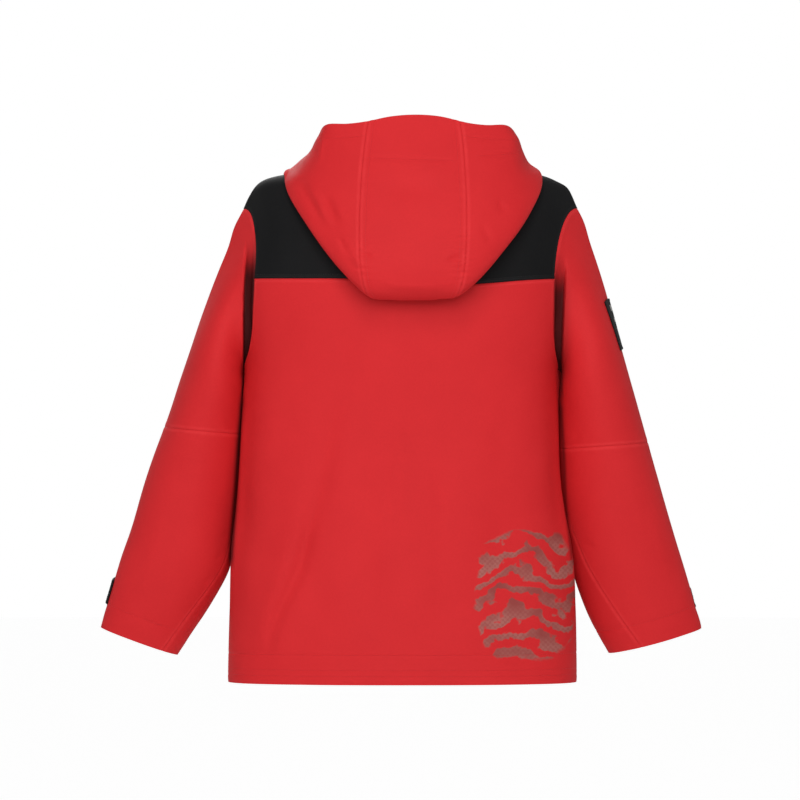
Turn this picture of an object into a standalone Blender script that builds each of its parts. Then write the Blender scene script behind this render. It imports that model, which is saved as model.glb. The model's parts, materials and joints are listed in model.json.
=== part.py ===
"""Hooded shell jacket, filled out as worn, with nobody in it.

Axes: +Z up, the front faces -Y and the wearer's left is +X. The origin is over the middle of the
hem, at the height and depth where the shoulder seams meet the neck: a wearer's shoulders and neck
carry the garment there.
Tables are in millimetres, and everything built from them is in metres.
Run it from Blender's text editor or with: blender --background --python part.py
"""

import math
from collections import namedtuple

import bmesh
import bpy
import numpy as np
from mathutils import Matrix, Vector
from mathutils.bvhtree import BVHTree

MM = 0.001
GARMENT = "hooded_jacket"

# ---------------------------------------------------------------- driving sizes, mm
WALL = 2.0  # shell fabric with its lining, as one wall
SEAM = 0.3  # gap left between two pieces at a seam
LAID_ON = 1.2  # gap under a piece that lies on a panel

HEM_Z = -710.5
UNDERARM_Z = -290.0
YOKE_Z = -165.0
TRUNK_POWER = 2.5  # roundness of the body's sections: 2 is an ellipse, more is squarer

ARMHOLE_MID_Z = -181.0
ARMHOLE_HALF_HEIGHT = ARMHOLE_MID_Z - UNDERARM_Z
ARMHOLE_HALF_DEPTH = 70.0

TOP_CENTRE_X = -10.5  # the shoulders sit a little towards the wearer's right
NECK_HALF_WIDTH = 88.0
NECK_BACK = 72.0
NECK_FRONT = 102.0
NECK_BACK_DROP = 15.0
NECK_FRONT_DROP = 78.0
NECK_SHARE = 0.56  # share of a yoke's columns that lie under the shoulder seam

ZIP_HALF = 5.5  # half the slot between the two fronts

HOOD_CLEAR = 6.0  # how far the hood's under layer stays off the yoke
HOOD_FOLD_SHIFT = -6.5  # how far the hood hangs towards the wearer's right of the neck
HOOD_BRIM_SHIFT = -8.5

# ---------------------------------------------------------------- grid sizes
ROWS_BODY = 10
ROWS_ARMHOLE = 6
ROWS_YOKE = 6
COLS_BACK_HALF = 12
ROWS_CAP = 7
ROWS_UPPER_SLEEVE = 3
ROWS_LOWER_SLEEVE = 10
ROWS_HOOD = 24
HOOD_SEAM_COLUMN = 2  # the hood's centre panel ends at this column, counted from centre back

# ---------------------------------------------------------------- tables, mm
Section = namedtuple("Section", "z centre half_width back front")
TRUNK = (
    Section(-710.5, -0.8, 234.8, 130.0, 138.0),
    Section(-654.0, -0.6, 234.2, 128.0, 137.0),
    Section(-580.0, -0.4, 231.6, 126.0, 136.0),
    Section(-520.0, 0.9, 226.2, 124.0, 135.0),
    Section(-479.0, 1.4, 221.2, 123.0, 135.0),
    Section(-438.0, 1.9, 217.9, 122.0, 135.0),
    Section(-385.0, 1.8, 215.1, 121.0, 136.5),
    Section(-330.0, 1.6, 212.0, 121.5, 139.0),
    Section(-290.0, 0.4, 210.0, 122.5, 140.5),
    Section(-248.0, -0.5, 215.5, 124.0, 141.0),
    Section(-205.0, -1.5, 222.5, 124.5, 140.0),
    Section(-165.0, -3.0, 224.0, 123.0, 138.0),
    Section(-140.0, -5.0, 224.0, 121.0, 136.0),
)

# soft folds pressed into the body: where round the body (degrees from the wearer's left side, back
# positive), depth, width, and the heights between which it fades in and out
Fold = namedtuple("Fold", "angle depth width low high drift")
FOLDS = (
    Fold(38.0, 4.0, 9.0, -711.5, -430.0, 14.0),
    Fold(72.0, 2.5, 8.0, -660.0, -260.0, -6.0),
    Fold(112.0, 2.5, 9.0, -690.0, -330.0, 5.0),
    Fold(148.0, 3.0, 8.0, -711.5, -420.0, -8.0),
    Fold(-40.0, 4.0, 9.0, -711.5, -420.0, -12.0),
    Fold(-142.0, 3.5, 9.0, -711.5, -450.0, 10.0),
)

RidgePoint = namedtuple("RidgePoint", "along x z")
RIDGE = (
    RidgePoint(0.000, 224.5, -72.0),
    RidgePoint(0.100, 219.0, -58.5),
    RidgePoint(0.225, 208.5, -44.0),
    RidgePoint(0.320, 196.0, -35.5),
    RidgePoint(0.480, 173.0, -26.0),
    RidgePoint(0.740, 131.0, -12.0),
    RidgePoint(1.000, 88.0, 0.0),
)

Ring = namedtuple("Ring", "inner_x inner_z outer_x outer_z middle_y half_depth twist")
CUFF_TIP = {1: 1.5, -1: 4.0}  # how far the back of the cuff hangs lower than its middle
SLEEVES = {
    1: (
        Ring(215.5, -320.0, 290.5, -276.0, -4.0, 76.0, 0.0),
        Ring(219.0, -377.0, 321.0, -367.0, -10.0, 69.0, 0.0),
        Ring(223.0, -450.0, 342.5, -428.0, -16.0, 63.0, 4.0),
        Ring(229.0, -525.0, 366.0, -503.0, -22.0, 57.0, 20.0),
        Ring(235.5, -565.0, 380.0, -545.0, -26.0, 53.0, 32.0),
        Ring(265.5, -618.0, 394.0, -592.0, -32.0, 45.0, 44.0),
        Ring(303.8, -676.0, 408.0, -638.5, -38.0, 35.0, 52.0),
    ),
    -1: (
        Ring(213.5, -320.0, 301.0, -276.0, -4.0, 76.0, 0.0),
        Ring(216.5, -397.0, 331.5, -388.0, -11.0, 68.0, 0.0),
        Ring(219.8, -460.0, 350.0, -450.0, -17.0, 62.0, 12.0),
        Ring(226.3, -530.0, 370.5, -517.0, -23.0, 56.0, 36.0),
        Ring(232.5, -568.0, 383.5, -560.0, -27.0, 52.0, 48.0),
        Ring(252.0, -622.0, 394.5, -601.0, -32.0, 44.0, 62.0),
        Ring(279.0, -673.5, 402.0, -639.5, -37.0, 36.0, 74.0),
    ),
}
BICEP, ELBOW, CUFF = 0.0, 1.0, 6.0  # places in a sleeve's table

# the hood, laid back: the fold is the lowest line of its bag, and the brim is its free edge
HoodRow = namedtuple(
    "HoodRow",
    "along fold_x fold_y fold_z rise lean into out lift brim_x brim_y brim_z brim_in brim_up",
)
HOOD = (
    HoodRow(0.00, 0, 152, -198, 110, 120, 90, 205, 60, 0, 84, 52, 75, 150),
    HoodRow(0.17, 63, 149, -193, 105, 115, 88, 190, 60, 67, 83, 42, 75, 145),
    HoodRow(0.27, 104, 132, -150, 90, 90, 75, 138, 50, 99, 76, 39, 62, 120),
    HoodRow(0.36, 146, 102, -93, 75, 65, 58, 84, 40, 125, 60, 38, 42, 95),
    HoodRow(0.45, 172, 55, -45, 60, 42, 38, 36, 30, 131, 36, 27, 24, 60),
    HoodRow(0.54, 170, 0, -19, 50, 30, 26, 16, 22, 133, 2, 15, 14, 38),
    HoodRow(0.67, 143, -52, -18, 45, 20, 18, 15, 25, 116, -46, 9, 12, 35),
    HoodRow(0.80, 93, -93, -35, 40, 12, 12, 10, 25, 82, -84, 0, 8, 30),
    HoodRow(0.90, 47, -113, -50, 35, 6, 6, 4, 25, 44, -104, -12, 4, 28),
    HoodRow(1.00, ZIP_HALF, -112, -51, 27, 0, 0, 0, 27, ZIP_HALF, -112, -22, 0, 27),
)

# pieces laid on the sleeves: how far down the sleeve they lie, and how far round it each way from
# its outermost line, mm, back positive
PATCH_HEIGHT = (-262.0, -194.0)  # z of its lower and upper edge
PATCH_ROUND = (-36.0, 27.0)
PATCH_THICK = 1.6
TAB_PLACES = (4.52, 5.42)
TAB_ROUND = {1: (-78.0, 7.0), -1: (-88.0, -14.0)}
TAB_THICK = 2.6

TAPE_HALF = 10.5
TAPE_THICK = 1.0
TAPE_GAP = 1.3
TAPE_END = 3.0  # how far the tape stops short of the hem and of the collar's edge

SLIDER_Z = -37.0
SLIDER = (9.4, 4.0, 12.0)
SLIDER_PROUD = 1.8
BRIDGE_RADIUS = 2.7
BRIDGE_BAR = 0.8
BRIDGE_LEGS = 1.2
HINGE_OFF = 1.5  # the pull's axis, off the slider's face
PULL = (7.6, 1.6, 27.0)
PULL_RIM = 1.8
PULL_WINDOW = 4.2


# ---------------------------------------------------------------- small maths
def curve_through(keys, values, at):
    """Smooth curve through values at keys, with each slope taken from the neighbours."""
    keys = np.asarray(keys, float)
    values = np.asarray(values, float)
    slopes = np.gradient(values, keys, axis=0)
    i = int(np.clip(np.searchsorted(keys, at) - 1, 0, len(keys) - 2))
    step = keys[i + 1] - keys[i]
    share = (at - keys[i]) / step
    return hermite(values[i], slopes[i] * step, values[i + 1], slopes[i + 1] * step, share)


def hermite(start, start_pull, end, end_pull, t):
    """Cubic from start to end that leaves along start_pull and arrives along end_pull."""
    return (
        (2 * t**3 - 3 * t**2 + 1) * start
        + (t**3 - 2 * t**2 + t) * start_pull
        + (3 * t**2 - 2 * t**3) * end
        + (t**3 - t**2) * end_pull
    )


def ease(t):
    """0 to 1 with flat ends."""
    t = min(1.0, max(0.0, t))
    return t * t * (3 - 2 * t)


def unit(v):
    return v / max(np.linalg.norm(v), 1e-9)


def slope(function, at, step):
    """Slope of a point function of one number."""
    return (function(at + step) - function(at - step)) / (2 * step)


def normal_of(point, u, v, du, dv, outward):
    """Unit normal of point(u, v), on the side that outward points to."""
    across = slope(lambda s: point(s, v), u, du)
    along = slope(lambda s: point(u, s), v, dv)
    normal = unit(np.cross(across, along))
    return normal if normal @ outward > 0 else -normal


# ---------------------------------------------------------------- the body's surface
def section(z):
    """The trunk's section at height z."""
    return Section(*curve_through([row.z for row in TRUNK], TRUNK, z))


def fold_depth(degrees, z):
    """How far the folds press the body in, at an angle from the wearer's left side seam."""
    depth = 0.0
    for fold in FOLDS:
        share = (z - fold.low) / (fold.high - fold.low)
        if 0 <= share <= 1:
            off = degrees - fold.angle - fold.drift * share
            depth += fold.depth * math.exp(-((off / fold.width) ** 2)) * ease((1 - share) * 1.6)
    return depth


def body_point(side, angle, z):
    """Point of the body: angle 0 is the side seam, +90 degrees centre back, -90 centre front."""
    row = section(z)
    depth = row.back if angle > 0 else row.front
    c, s = math.cos(angle), math.sin(angle)
    sum_of_powers = abs(c / row.half_width) ** TRUNK_POWER + abs(s / depth) ** TRUNK_POWER
    reach = sum_of_powers ** (-1 / TRUNK_POWER)
    from_left = math.degrees(angle)
    if side < 0:
        from_left = math.copysign(180, angle) - from_left
    reach -= fold_depth(from_left, z)
    return np.array([row.centre + side * reach * c, reach * s, z])


def body_normal(side, angle, z):
    def point(turn, height):
        return body_point(side, turn, height)

    outward = np.array([side * math.cos(angle), math.sin(angle), 0.0])
    return normal_of(point, angle, z, 0.01, 1.0, outward)


def armhole_angle(face, z):
    """Where the armhole's edge cuts the body at height z. face is 1 for the back, -1 for the front."""
    row = section(z)
    rise = (z - ARMHOLE_MID_Z) / ARMHOLE_HALF_HEIGHT
    depth = ARMHOLE_HALF_DEPTH * math.sqrt(max(0.0, 1 - rise * rise))
    full = row.back if face > 0 else row.front
    across = row.half_width * (1 - (depth / full) ** TRUNK_POWER) ** (1 / TRUNK_POWER)
    return face * max(math.atan2(depth, across), SEAM / 2 / row.half_width)


def centre_angle(face, z):
    """Centre back, or the edge of a front beside the zip."""
    return math.pi / 2 if face > 0 else -math.pi / 2 + ZIP_HALF / section(z).front


def edge_angle(face, z):
    """Where a panel of the body begins: at the side seam, or above it at the armhole."""
    if z > UNDERARM_Z:
        return armhole_angle(face, z)
    return face * SEAM / 2 / section(z).half_width


def armhole_heights():
    """Heights from the underarm to the yoke seam, close together where the armhole turns."""
    top = math.asin((YOKE_Z - ARMHOLE_MID_Z) / ARMHOLE_HALF_HEIGHT)
    turns = np.linspace(-math.pi / 2, top, ROWS_ARMHOLE + 1)
    return [ARMHOLE_MID_Z + ARMHOLE_HALF_HEIGHT * math.sin(turn) for turn in turns]


def body_heights():
    below = list(np.linspace(HEM_Z, UNDERARM_Z, ROWS_BODY + 1))
    heights = below + armhole_heights()[1:]
    heights[-1] -= SEAM / 2
    return heights


# ---------------------------------------------------------------- the yokes' surface
def top_line(side, face, s):
    """Top edge of a yoke: the shoulder seam, then the neckline. s runs from armhole to centre."""
    if s < NECK_SHARE:
        point = curve_through([row.along for row in RIDGE], RIDGE, s / NECK_SHARE)
        return np.array([TOP_CENTRE_X + side * point[1], 0.0, point[2]])
    return neckline(side, face, (s - NECK_SHARE) / (1 - NECK_SHARE))


def neckline(side, face, share):
    """The neckline from the shoulder seam (0) to centre back or the zip (1)."""
    turn = share * (math.pi / 2 if face > 0 else math.acos(ZIP_HALF / NECK_HALF_WIDTH))
    depth, drop = (NECK_BACK, NECK_BACK_DROP) if face > 0 else (-NECK_FRONT, NECK_FRONT_DROP)
    x = TOP_CENTRE_X + side * NECK_HALF_WIDTH * math.cos(turn)
    return np.array([x, depth * math.sin(turn), -drop * (1 - math.cos(turn))])


def top_direction(side, face, s):
    """Which way the yoke's cloth runs as it reaches its top edge."""
    over_shoulder = np.array([side * 0.55 * ease(1 - s / 0.25), -face, 0.0])
    up_to_neck = np.array([0.0, -0.45, 0.9]) if face > 0 else np.array([0.0, 0.3, 0.95])
    to_neck = ease((s - NECK_SHARE) / (1 - NECK_SHARE))
    return unit(over_shoulder + (up_to_neck - over_shoulder) * to_neck)


def yoke_point(side, face, s, t):
    """Point of a yoke: s from the armhole (0) to the centre (1), t from its seam (0) to its top (1)."""
    edge, centre = armhole_angle(face, YOKE_Z), centre_angle(face, YOKE_Z)
    angle = edge + (centre - edge) * s
    start, end = body_point(side, angle, YOKE_Z), top_line(side, face, s)
    reach = np.linalg.norm(end - start)
    up = unit(slope(lambda z: body_point(side, angle, z), YOKE_Z, 2.0))
    return hermite(start, up * reach, end, top_direction(side, face, s) * reach, t)


def yoke_normal(side, face, s, t):
    def point(a, b):
        return yoke_point(side, face, a, b)

    outward = np.array([0.0, face * (1.2 - t), 0.3 + t])
    inside_s, inside_t = min(max(s, 0.01), 0.99), min(max(t, 0.01), 0.99)
    return normal_of(point, inside_s, inside_t, 0.01, 0.01, outward)


# ---------------------------------------------------------------- the sleeves' surface
def armhole_loop(side):
    """The armhole's points and yoke normals, from the underarm up the front and down the back."""
    heights = armhole_heights()[:-1]
    steps = np.linspace(0, 1, ROWS_YOKE + 1)
    front = [body_point(side, armhole_angle(-1, z), z) for z in heights]
    front += [yoke_point(side, -1, 0.0, t) for t in steps]
    back = [body_point(side, armhole_angle(1, z), z) for z in heights]
    back += [yoke_point(side, 1, 0.0, t) for t in steps[:-1]]
    return front + back[::-1]


def loop_shares(points):
    """How far round the armhole each point lies: 0 underarm, 0.5 shoulder, 1 underarm again."""
    steps = [np.linalg.norm(b - a) for a, b in zip(points, points[1:])]
    lengths = np.concatenate([[0.0], np.cumsum(steps)])
    top = len(points) // 2
    front = 0.5 * lengths[: top + 1] / lengths[top]
    back = 0.5 + 0.5 * (lengths[top + 1 :] - lengths[top]) / (lengths[-1] - lengths[top])
    return np.concatenate([front, back])


def tube_point(side, share, place):
    """Point of the sleeve below the armhole: share round it from the under seam, place in its table."""
    row = Ring(*curve_through(range(len(SLEEVES[side])), SLEEVES[side], place))
    turn = math.pi + 2 * math.pi * share - math.radians(row.twist)
    c, s = math.cos(turn), math.sin(turn)
    x = (row.inner_x + row.outer_x) / 2 + c * (row.outer_x - row.inner_x) / 2
    z = (row.inner_z + row.outer_z) / 2 + c * (row.outer_z - row.inner_z) / 2
    z -= CUFF_TIP[side] * s * ease((place - 4) / 2)
    return np.array([side * x, row.middle_y + s * row.half_depth, z])


def cap_direction(side, share):
    """Which way the sleeve's cloth leaves the armhole seam."""
    c, s = -math.cos(2 * math.pi * share), -math.sin(2 * math.pi * share)
    across = 0.8 - 0.29 * c - 0.09 * c * c
    down = 0.4 + 0.39 * c + 0.14 * c * c
    return unit(np.array([side * across, -0.5 * s, -down]))


def cap_point(side, edge, share, t):
    """Point of the sleeve's cap, from its armhole edge (t 0) to the bicep (t 1)."""
    end = tube_point(side, share, BICEP)
    reach = np.linalg.norm(end - edge)
    arrive = unit(slope(lambda p: tube_point(side, share, p), BICEP, 0.02))
    return hermite(edge, cap_direction(side, share) * reach, end, arrive * reach, t)


# ---------------------------------------------------------------- the hood's surface
def hood_profile(side, along, b):
    """Point of the hood: along from centre back (0) to the zip (1), b from neckline to brim."""
    row = HoodRow(*curve_through([r.along for r in HOOD], HOOD, along))
    face, share = (1, 1 - along * 2) if along <= 0.5 else (-1, along * 2 - 1)
    start = neckline(side, face, share) + np.array([0.0, 0.0, SEAM * 1.3])
    fold_middle = TOP_CENTRE_X + HOOD_FOLD_SHIFT * ease(2.2 * (0.75 - along))
    brim_middle = TOP_CENTRE_X + HOOD_BRIM_SHIFT * ease(2.5 * (0.9 - along))
    fold = np.array([fold_middle + side * row.fold_x, row.fold_y, row.fold_z])
    brim = np.array([brim_middle + side * row.brim_x, row.brim_y, row.brim_z])
    out = unit(np.array([side * row.fold_x, row.fold_y + 1.0, 0.0]))
    up = np.array([0.0, 0.0, 1.0])
    if b <= 0.5:
        rise = up * row.rise + out * row.lean
        into = out * row.into + up * row.lift * ease(2 * along - 1)
        return hermite(start, rise, fold, into, b * 2)
    leave = out * row.out + up * row.lift
    arrive = up * row.brim_up - out * row.brim_in
    return hermite(fold, leave, brim, arrive, b * 2 - 1)


# ---------------------------------------------------------------- building
SKINS = {}  # each cloth piece's outer and inner grid of points, mm


def material(name, colour, roughness, metallic=0.0):
    made = bpy.data.materials.new(name)
    made.use_nodes = True
    shader = made.node_tree.nodes["Principled BSDF"]
    shader.inputs["Base Color"].default_value = (*colour, 1.0)
    shader.inputs["Roughness"].default_value = roughness
    shader.inputs["Metallic"].default_value = metallic
    made.diffuse_color = (*colour, 1.0)
    return made


def new_object(name, mesh, look, collection):
    mesh.materials.append(look)
    made = bpy.data.objects.new(name, mesh)
    collection.objects.link(made)
    return made


def cloth_wall(name, outer, inner, look, collection):
    """Closed wall between two equal grids of points (mm), given row by row."""
    SKINS[name] = (np.array(outer), np.array(inner))
    shape = bmesh.new()
    rows, cols = len(outer), len(outer[0])
    skins = [[[shape.verts.new(Vector(p) * MM) for p in row] for row in grid] for grid in (outer, inner)]
    for skin in skins:
        for i in range(rows - 1):
            for j in range(cols - 1):
                shape.faces.new((skin[i][j], skin[i][j + 1], skin[i + 1][j + 1], skin[i + 1][j]))
    rim = [(0, j) for j in range(cols)] + [(i, cols - 1) for i in range(1, rows)]
    rim += [(rows - 1, j) for j in range(cols - 2, -1, -1)] + [(i, 0) for i in range(rows - 2, 0, -1)]
    for pair in zip(rim, rim[1:] + rim[:1]):
        # the same diagonal whichever way the rim runs, so that walls facing across a seam match
        (a, b), (c, d) = sorted(pair)
        shape.faces.new((skins[0][a][b], skins[0][c][d], skins[1][a][b]))
        shape.faces.new((skins[0][c][d], skins[1][c][d], skins[1][a][b]))
    bmesh.ops.recalc_face_normals(shape, faces=shape.faces)
    mesh = bpy.data.meshes.new(name)
    shape.to_mesh(mesh)
    shape.free()
    mesh.shade_smooth()
    mesh.set_sharp_from_angle(angle=math.radians(50))
    return new_object(name, mesh, look, collection)


def grid_normals(points):
    """Normals of a grid of points, from the differences between neighbours."""
    grid = np.array(points, float)
    normals = np.cross(np.gradient(grid, axis=1), np.gradient(grid, axis=0))
    normals /= np.maximum(np.linalg.norm(normals, axis=2, keepdims=True), 1e-9)
    return normals


def build_back(looks, collection):
    """The red back below the yoke seam, one piece from side seam to side seam."""
    outer, inner = [], []
    shares = np.linspace(-1, 1, 2 * COLS_BACK_HALF + 1)
    for z in body_heights():
        places = []
        for share in shares:
            edge = edge_angle(1, z)
            places.append((1 if share <= 0 else -1, edge + (math.pi / 2 - edge) * (1 - abs(share))))
        outer.append([body_point(side, angle, z) for side, angle in places])
        inner.append([p - WALL * body_normal(side, a, z) for p, (side, a) in zip(outer[-1], places)])
    return cloth_wall("back", outer, inner, looks["red_shell"], collection)


def build_front(side, looks, collection):
    """A red front below the yoke seam, from side seam to zip."""
    outer, inner = [], []
    for z in body_heights():
        angles = np.linspace(edge_angle(-1, z), centre_angle(-1, z), COLS_BACK_HALF + 1)
        outer.append([body_point(side, angle, z) for angle in angles])
        inner.append([p - WALL * body_normal(side, a, z) for p, a in zip(outer[-1], angles)])
    name = "front_left" if side > 0 else "front_right"
    return cloth_wall(name, outer, inner, looks["red_shell"], collection)


def yoke_columns(face):
    """Column places of a yoke: the same on both sides of the shoulder seam."""
    under_seam = np.linspace(0, NECK_SHARE, 7)
    at_neck = np.linspace(NECK_SHARE, 1, (6 if face > 0 else 7) + 1)
    return np.concatenate([under_seam, at_neck[1:]])


def yoke_rows():
    steps = np.linspace(0, 1, ROWS_YOKE + 1)
    steps[0] += SEAM / 2 / 120
    return steps


def yoke_grid(side, face):
    """Outer and inner points of a yoke's half, row by row from its seam up."""
    outer, inner = [], []
    for t in yoke_rows():
        row, inside = [], []
        for s in yoke_columns(face):
            reach = np.linalg.norm(yoke_point(side, face, s, 1) - yoke_point(side, face, s, 0))
            on_ridge = s < NECK_SHARE + 1e-6
            top = t - (SEAM / 2 / reach if t == 1.0 and on_ridge else 0.0)
            normal = yoke_normal(side, face, s, top)
            if t == 1.0 and on_ridge:
                normal = unit(normal * np.array([1.0, 0.0, 1.0]))
            row.append(yoke_point(side, face, s, top))
            inside.append(row[-1] - WALL * normal)
        outer.append(row)
        inner.append(inside)
    return outer, inner


def build_back_yoke(looks, collection):
    """The black back yoke, one piece across both shoulders."""
    left, right = yoke_grid(1, 1), yoke_grid(-1, 1)
    joined = [[a + b[-2::-1] for a, b in zip(*pair)] for pair in zip(left, right)]
    return cloth_wall("back_yoke", *joined, looks["black_shell"], collection)


def build_front_yoke(side, looks, collection):
    name = "front_yoke_left" if side > 0 else "front_yoke_right"
    return cloth_wall(name, *yoke_grid(side, -1), looks["black_shell"], collection)


def sleeve_grid(side, places):
    """Outer points of the sleeve tube at places in its table, round it from the under seam."""
    shares = loop_shares(armhole_loop(side))
    gap = SEAM / 2 / 400
    shares[0], shares[-1] = gap, 1 - gap
    return [[tube_point(side, share, place) for share in shares] for place in places]


def cap_grid(side):
    """Outer points of the sleeve's cap, from the armhole seam down to the bicep."""
    loop = armhole_loop(side)
    shares = loop_shares(loop)
    edges = [p + cap_direction(side, share) * SEAM for p, share in zip(loop, shares)]
    apart = np.array([0.0, SEAM / 2, 0.0])
    edges[0], edges[-1] = edges[0] - apart, edges[-1] + apart
    gap = SEAM / 2 / 400
    shares[0], shares[-1] = gap, 1 - gap
    steps = np.linspace(0, 1, ROWS_CAP + 1) ** 1.15
    return [[cap_point(side, edge, share, t) for edge, share in zip(edges, shares)] for t in steps]


def tube_wall(name, outer, look, collection):
    """Wall of a sleeve piece: its inner points lie towards the arm."""
    normals = grid_normals(outer)
    middle = np.mean(np.array(outer), axis=1, keepdims=True)
    if np.mean(np.sum(normals * (np.array(outer) - middle), axis=2)) < 0:
        normals = -normals
    inner = np.array(outer) - WALL * normals
    return cloth_wall(name, outer, inner.tolist(), look, collection)


def build_sleeve(side, looks, collection):
    """A sleeve in two pieces, above and below the elbow seam, each with its under seam."""
    word = "left" if side > 0 else "right"
    gap = SEAM / 2 / 60
    upper = cap_grid(side) + sleeve_grid(side, np.linspace(BICEP, ELBOW - gap, ROWS_UPPER_SLEEVE + 1)[1:])
    lower = sleeve_grid(side, np.linspace(ELBOW + gap, CUFF, ROWS_LOWER_SLEEVE + 1))
    tube_wall(f"sleeve_upper_{word}", upper, looks["red_shell"], collection)
    tube_wall(f"sleeve_lower_{word}", lower, looks["red_shell"], collection)


def hood_columns():
    """Column places from centre back to the zip, on the yokes' own neckline columns."""
    back = np.linspace(0, 0.5, 7)
    front = np.linspace(0.5, 1, 8)
    return np.concatenate([back, front[1:]])


def outer_tree(objects):
    """Search tree of the outer faces of cloth pieces, for what has to stay off them."""
    verts, faces = [], []
    for item in objects:
        start, outside = len(verts), len(item.data.vertices) // 2
        verts += [v.co.copy() for v in item.data.vertices]
        outer = [p.vertices for p in item.data.polygons if max(p.vertices) < outside]
        faces += [tuple(start + i for i in corners) for corners in outer]
    return BVHTree.FromPolygons(verts, faces)


def kept_off(point, tree, clear):
    """The point moved out, if it is nearer than clear (mm) to the tree's faces or behind them."""
    spot = Vector(point) * MM
    near, normal, _, distance = tree.find_nearest(spot)
    outside = (spot - near).dot(normal) > 0
    if outside and distance >= clear * MM:
        return point
    away = (spot - near).normalized() if outside else normal
    return np.array(near + away * clear * MM) / MM


def build_hood(looks, collection, body):
    """The hood in three panels: a centre panel from neckline to brim and two sides."""
    tree = outer_tree(body)
    columns = hood_columns()
    half = {}
    for side in (1, -1):
        grid = []
        for b in np.linspace(0, 1, ROWS_HOOD + 1):
            row = [hood_profile(side, along, b) for along in columns]
            if 0 < b <= 0.6:
                clear = HOOD_CLEAR * min(1.0, b * 10)
                row = [kept_off(p, tree, clear) for p in row[:-1]] + row[-1:]
            grid.append(row)
        half[side] = grid
    seam = HOOD_SEAM_COLUMN
    whole = [right[:0:-1] + left for left, right in zip(half[1], half[-1])]
    whole = np.array(whole)
    normals = -grid_normals(whole)
    inner = whole - WALL * normals
    middle = len(columns) - 1
    pieces = (
        ("hood_centre", middle - seam, middle + seam),
        ("hood_left", middle + seam, 2 * middle),
        ("hood_right", 0, middle - seam),
    )
    for name, first, last in pieces:
        skins = []
        for grid in (whole, inner):
            cut = grid[:, first : last + 1].copy()
            if first > 0:
                cut[:, 0] += 0.55 * SEAM * across_seam(whole, first)
            if last < 2 * middle:
                cut[:, -1] -= 0.55 * SEAM * across_seam(whole, last)
            skins.append(cut.tolist())
        cloth_wall(name, *skins, looks["red_shell"], collection)


def across_seam(grid, column):
    """Direction across a seam that runs down a column of the grid, at each of its points."""
    along = unit_rows(np.gradient(grid[:, column], axis=0))
    across = grid[:, column + 1] - grid[:, column - 1]
    return unit_rows(across - np.sum(across * along, axis=1, keepdims=True) * along)


def unit_rows(vectors):
    return vectors / np.maximum(np.linalg.norm(vectors, axis=1, keepdims=True), 1e-9)


# ---------------------------------------------------------------- pieces on the sleeves
def laid_piece(name, surface, downs, arounds, thick, look, collection, under):
    """Flat piece that follows surface(down, around) and stays LAID_ON above the piece under it."""
    tree = outer_tree([under])
    base = [[Vector(surface(down, around)) * MM for around in arounds] for down in downs]
    base = np.array([[tree.find_nearest(spot)[0] / MM for spot in row] for row in base])
    middle = np.array([[surface.middle(down)] for down in downs])
    normals = grid_normals(base)
    if np.mean(np.sum(normals * (base - middle), axis=2)) < 0:
        normals = -normals
    outer = base + normals * (LAID_ON + thick)
    inner = base + normals * LAID_ON
    return cloth_wall(name, outer.tolist(), inner.tolist(), look, collection)


class SleeveFace:
    """The outer face of one sleeve: down it by place, and round it in mm from its outermost line."""

    def __init__(self, side):
        self.side = side
        loop = armhole_loop(side)
        self.shares = loop_shares(loop)
        edges = [p + cap_direction(side, share) * SEAM for p, share in zip(loop, self.shares)]
        self.edges = np.array(edges)

    def point(self, share, place):
        """Point at a share round the sleeve; a place below 0 lies on the cap."""
        if place >= 0:
            return tube_point(self.side, share, place)
        edge = np.array([np.interp(share, self.shares, self.edges[:, k]) for k in range(3)])
        return cap_point(self.side, edge, share, 1 + place)

    def outermost(self, place):
        """Share of the line that shows at the sleeve's outer edge from behind."""
        shares = np.linspace(0.35, 0.85, 101)
        across = [self.side * self.point(share, place)[0] for share in shares]
        return shares[int(np.argmax(across))]

    def round_length(self, place):
        ring = [self.point(share, place) for share in np.linspace(0, 1, 33)]
        return sum(np.linalg.norm(b - a) for a, b in zip(ring, ring[1:]))

    def __call__(self, place, around):
        return self.point(self.outermost(place) + around / self.round_length(place), place)

    def middle(self, place):
        return np.mean([self.point(share, place) for share in np.linspace(0, 1, 17)], axis=0)

    def place_at(self, z):
        """Place on the cap whose outermost point is at height z."""
        low, high = -1.0, 0.0
        for _ in range(24):
            half = (low + high) / 2
            low, high = (half, high) if self(half, 0.0)[2] > z else (low, half)
        return (low + high) / 2


def build_patch(looks, collection):
    """The black patch on the outside of the wearer's right sleeve."""
    face = SleeveFace(-1)
    downs = np.linspace(face.place_at(PATCH_HEIGHT[1]), face.place_at(PATCH_HEIGHT[0]), 7)
    arounds = np.linspace(*PATCH_ROUND, 9)
    under = collection.objects["sleeve_upper_right"]
    laid_piece("sleeve_patch", face, downs, arounds, PATCH_THICK, looks["black_trim"], collection, under)


def build_cuff_tab(side, looks, collection):
    name = "cuff_tab_left" if side > 0 else "cuff_tab_right"
    downs = np.linspace(*TAB_PLACES, 6)
    arounds = np.linspace(*TAB_ROUND[side], 12)
    under = collection.objects["sleeve_lower_left" if side > 0 else "sleeve_lower_right"]
    laid_piece(name, SleeveFace(side), downs, arounds, TAB_THICK, looks["black_trim"], collection, under)


# ---------------------------------------------------------------- the zip
def beside_zip(panel, off):
    """Points of a panel's inner skin, off mm from its zip edge, with the way into the jacket there."""
    outer, inner = SKINS[panel]
    if panel == "hood_right":
        outer, inner = outer[:, ::-1], inner[:, ::-1]
    found = []
    for outside, inside in zip(outer, inner):
        share = off / np.linalg.norm(inside[-2] - inside[-1])
        point = inside[-1] + share * (inside[-2] - inside[-1])
        out = outside[-1] + share * (outside[-2] - outside[-1])
        found.append((point, unit(point - out)))
    return found


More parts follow.
